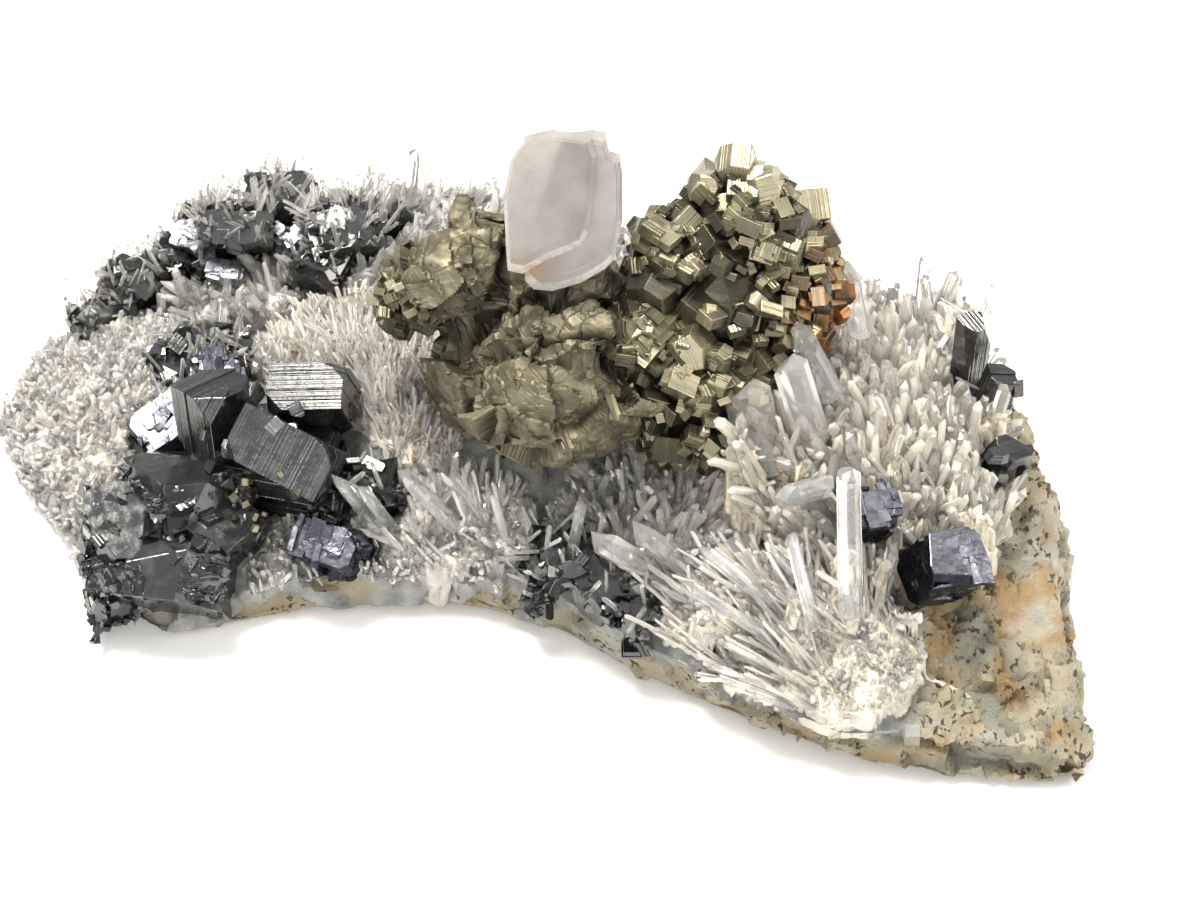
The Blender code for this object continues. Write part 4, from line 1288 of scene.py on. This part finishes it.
def broken_body(node, material):
    """A group's solid as broken stone: flat tilted facets of two sizes, fading out at its foot."""
    vertices, normals, faces = remeshed(node, BODY_VOXEL)
    large, small = BODY_FACETS
    placed, striae = [], []
    for point, normal in zip(vertices, normals):
        shift = facets(point, *large) + facets(point, *small) - 0.3 * large[1]
        placed.append(point + normal * shift * clamp(point.z / 8))
        striae.append(stria_at(point, point, large[0]))
    made = finish_mesh(node + "_body", placed, faces, smooth=True)
    patchy_tints(made)
    store(made, "stria", striae, "POINT")
    made.data.set_sharp_from_angle(angle=math.radians(25))
    made.data.materials.append(material)
    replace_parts(made, node)


def make_sphalerite(node, material):
    """A group's plated blocks, or its broken ones among many shards."""
    dice = random.Random(node)
    heap = Heap()
    share, shards = BROKEN_GROUPS.get(node, (None, 7 if "right" in node else 22))
    for middle, size, turn in BLOCKS[node]:
        if share:
            add_broken_block(heap, middle, [side * share for side in size], turn, dice)
        else:
            add_plated_block(heap, middle, size, turn, dice)
    add_shards(heap, node, shards, dice, 0.5 if share else 0.35)
    if share:
        broken_body(node, material)
    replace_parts(heap.make(node + "_crystals", material), node)


def make_galena(node, material):
    """Cubes cleaved in low steps along the same three directions; a painted highlight makes their tops
    brightest and painted shade makes their sides dark.
    """
    dice = random.Random(node)
    heap = Heap()
    for middle, size, turn in BLOCKS[node]:
        place_at = turned(middle, turn)
        bm = box_with_cuts([0.93 * side for side in size], GALENA_CUT, True)
        for _ in range(3):
            way = Vector([dice.gauss(0, 1) / side for side in size]).normalized()
            cut_away(bm, way * 0.36 * reach_of(way, size), way)
        soften(bm, 0.12)
        heap.add(bm, place_at, 0.5)
        for _ in range(GALENA_STEPS):
            side = [dice.uniform(1.2, 5) for _ in range(3)]
            axis = dice.randrange(3)
            side[axis] = dice.uniform(0.5, 1.2)
            spot = [dice.uniform(-0.36, 0.36) * s for s in size]
            spot[axis] = dice.choice((-0.5, 0.5)) * (size[axis] * 0.9 - side[axis] * dice.uniform(0.1, 0.9))
            bm = box_with_cuts(side, dice.uniform(0.2, 0.45), False)
            way = Vector([dice.gauss(0, 1) / s for s in side]).normalized()
            cut_away(bm, way * 0.3 * reach_of(way, side), way)
            soften(bm, 0.1)
            lean = Euler([dice.uniform(-0.15, 0.15) for _ in range(3)]).to_matrix().to_4x4()
            heap.add(bm, place_at @ Matrix.Translation(spot) @ lean, dice.random())
    made = heap.make(node + "_crystals", material)
    # painted highlight and shade: the tint rises with how far each face points up
    up = [max(0.0, face.normal.z) ** 3 for face in made.data.polygons]
    tints = [0.35 * tint + 0.65 * u for tint, u in zip(heap.tints, up)]
    made.data.attributes["tint"].data.foreach_set("value", tints)
    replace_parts(made, node)


def make_flakes(material):
    """Bright flat flakes of galena among the back crystals."""
    dice = random.Random(5)
    heap = Heap()
    for middle, facing in FLAKES:
        for _ in range(FLAKES_EACH):
            offset = [dice.uniform(-2.2, 2.2), dice.uniform(-1.6, 1.6), dice.uniform(-1, 0.6)]
            bm = box_with_cuts((dice.uniform(2, 4), dice.uniform(2, 4), dice.uniform(2, 3)), 0.3, False)
            soften(bm, 0.08)
            turn = tilted(Vector(facing), 0.12, dice)
            heap.add(bm, Matrix.Translation(Vector(middle) + Vector(offset)) @ turn, 0.9)
    heap.make("galena_flakes", material)


# Calcite.


def make_calcite(material):
    """Two tablets grown together, with bevelled edges and a low growth step on each flat face."""
    lean = Matrix.Translation(CALCITE_MIDDLE) @ Matrix.Rotation(math.radians(90 - CALCITE_LEAN), 4, "X")
    vertices, faces, bevels = [], [], []
    for behind, thickness, corners in CALCITE_TABLETS:
        start, count = len(vertices), len(corners)
        middle = sum((Vector(corner) for corner in corners), Vector((0, 0))) / count
        for share, height, from_front in CALCITE_RINGS:
            depth = height - behind + (0.5 if from_front else -0.5) * thickness
            rise = Vector((0, BEVEL_RISE * (1 - share) if from_front else 0))
            for corner in corners:
                at = middle + (Vector(corner) - middle) * share + rise
                wave = 0.12 * noise.noise(Vector((at.x, at.y, depth)))
                vertices.append(lean @ Vector((at.x + wave, at.y - wave, depth - thickness / 2 + 0.3)))
        for ring in range(len(CALCITE_RINGS) - 1):
            low = start + ring * count
            for i in range(count):
                j = (i + 1) % count
                faces.append((low + i, low + j, low + count + j, low + count + i))
                outward = (Vector(corners[i]) + Vector(corners[j]) - 2 * middle).normalized()
                # painted highlight on the front bevel, strongest where it faces the foot
                bevels.append((0.15 + 0.85 * max(0.0, -outward.y)) if ring == BEVEL_RING else 0.0)
        faces.append(tuple(start + i for i in reversed(range(count))))
        faces.append(tuple(start + (len(CALCITE_RINGS) - 1) * count + i for i in range(count)))
        bevels += [0.0, 0.0]
    made = finish_mesh("calcite_crystal", vertices, faces)
    store(made, "bevel", bevels)
    bm = bmesh.new()
    bm.from_mesh(made.data)
    bmesh.ops.recalc_face_normals(bm, faces=bm.faces)
    bm.to_mesh(made.data)
    bm.free()
    made.data.materials.append(material)
    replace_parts(made, "calcite_tablets")


# Floor, light and camera.


def soft_light(name, place_at, size, power):
    light = bpy.data.lights.new(name, "AREA")
    light.shape = "RECTANGLE"
    light.size, light.size_y = size
    light.energy = power
    light.color = LIGHT_COLOUR
    made = bpy.data.objects.new(name, light)
    made.location = place_at
    made.rotation_euler = (Vector(LIGHT_AIM) - Vector(place_at)).to_track_quat("-Z", "Y").to_euler()
    bpy.context.scene.collection.objects.link(made)


def make_studio():
    """A pale floor, a sky that is darker near the horizon, and three soft lights."""
    bpy.ops.mesh.primitive_plane_add(size=FLOOR_SIZE)
    floor = bpy.context.object
    floor.name = "floor"
    material, _ = new_material("floor", Base_Color=(0.95, 0.95, 0.95, 1), Roughness=0.9)
    floor.data.materials.append(material)
    world = bpy.data.worlds.new("studio")
    bpy.context.scene.world = world
    world.use_nodes = True
    tree = world.node_tree
    way = tree.nodes.new("ShaderNodeTexCoord")
    parts = tree.nodes.new("ShaderNodeSeparateXYZ")
    sky = tree.nodes.new("ShaderNodeValToRGB")
    tree.links.new(way.outputs["Generated"], parts.inputs[0])
    tree.links.new(parts.outputs["Z"], sky.inputs[0])
    tree.links.new(sky.outputs[0], tree.nodes["Background"].inputs["Color"])
    for element, (height, grey) in zip(sky.color_ramp.elements, SKY):
        element.color = (grey, grey, grey, 1)
        element.position = height
    tree.nodes["Background"].inputs["Strength"].default_value = 1.0
    for light in LIGHTS:
        soft_light(*light)


def make_camera():
    rise = math.radians(CAMERA_ELEVATION)
    back = Vector((0, -math.cos(rise), math.sin(rise)))
    data = bpy.data.cameras.new("camera")
    data.lens = CAMERA_LENS
    data.sensor_width = CAMERA_SENSOR
    made = bpy.data.objects.new("camera", data)
    made.location = (Vector(CAMERA_TARGET) + back * CAMERA_DISTANCE) * MM
    made.rotation_euler = (-back).to_track_quat("-Z", "Y").to_euler()
    bpy.context.scene.collection.objects.link(made)
    bpy.context.scene.camera = made


def main():
    make_rock(rock_material())
    crust = crust_material()
    glassy = quartz_material("glassy")
    milky = quartz_material("milky")
    tips = {}
    for name, patch in PATCHES.items():
        tree = tree_of([name])
        make_crust(name, patch, tree, crust)
        tips[name] = make_needles(name, patch, tree, (glassy, milky))
    make_rust_grains(tips["quartz_druse_middle"], rust_material())
    make_overgrowth(glassy)
    make_edge_growth((glassy, milky))
    make_clear_crystals(quartz_material("clear"))
    make_tablets(quartz_material("frosted"))
    cubes = pyrite_material("cubes")
    make_cubes(cubes)
    make_pyrite_grains(cubes)
    make_mass(pyrite_material("stepped"))
    make_knob_cubes(cubes)
    black = sphalerite_material()
    grey = galena_material()
    for node in mineral_nodes:
        if node.startswith("sphalerite"):
            make_sphalerite(node, black)
        if node.startswith("galena"):
            make_galena(node, grey)
    make_flakes(grey)
    make_calcite(calcite_material())
    make_studio()
    make_camera()
    bpy.context.scene.view_settings.view_transform = "Standard"


main()
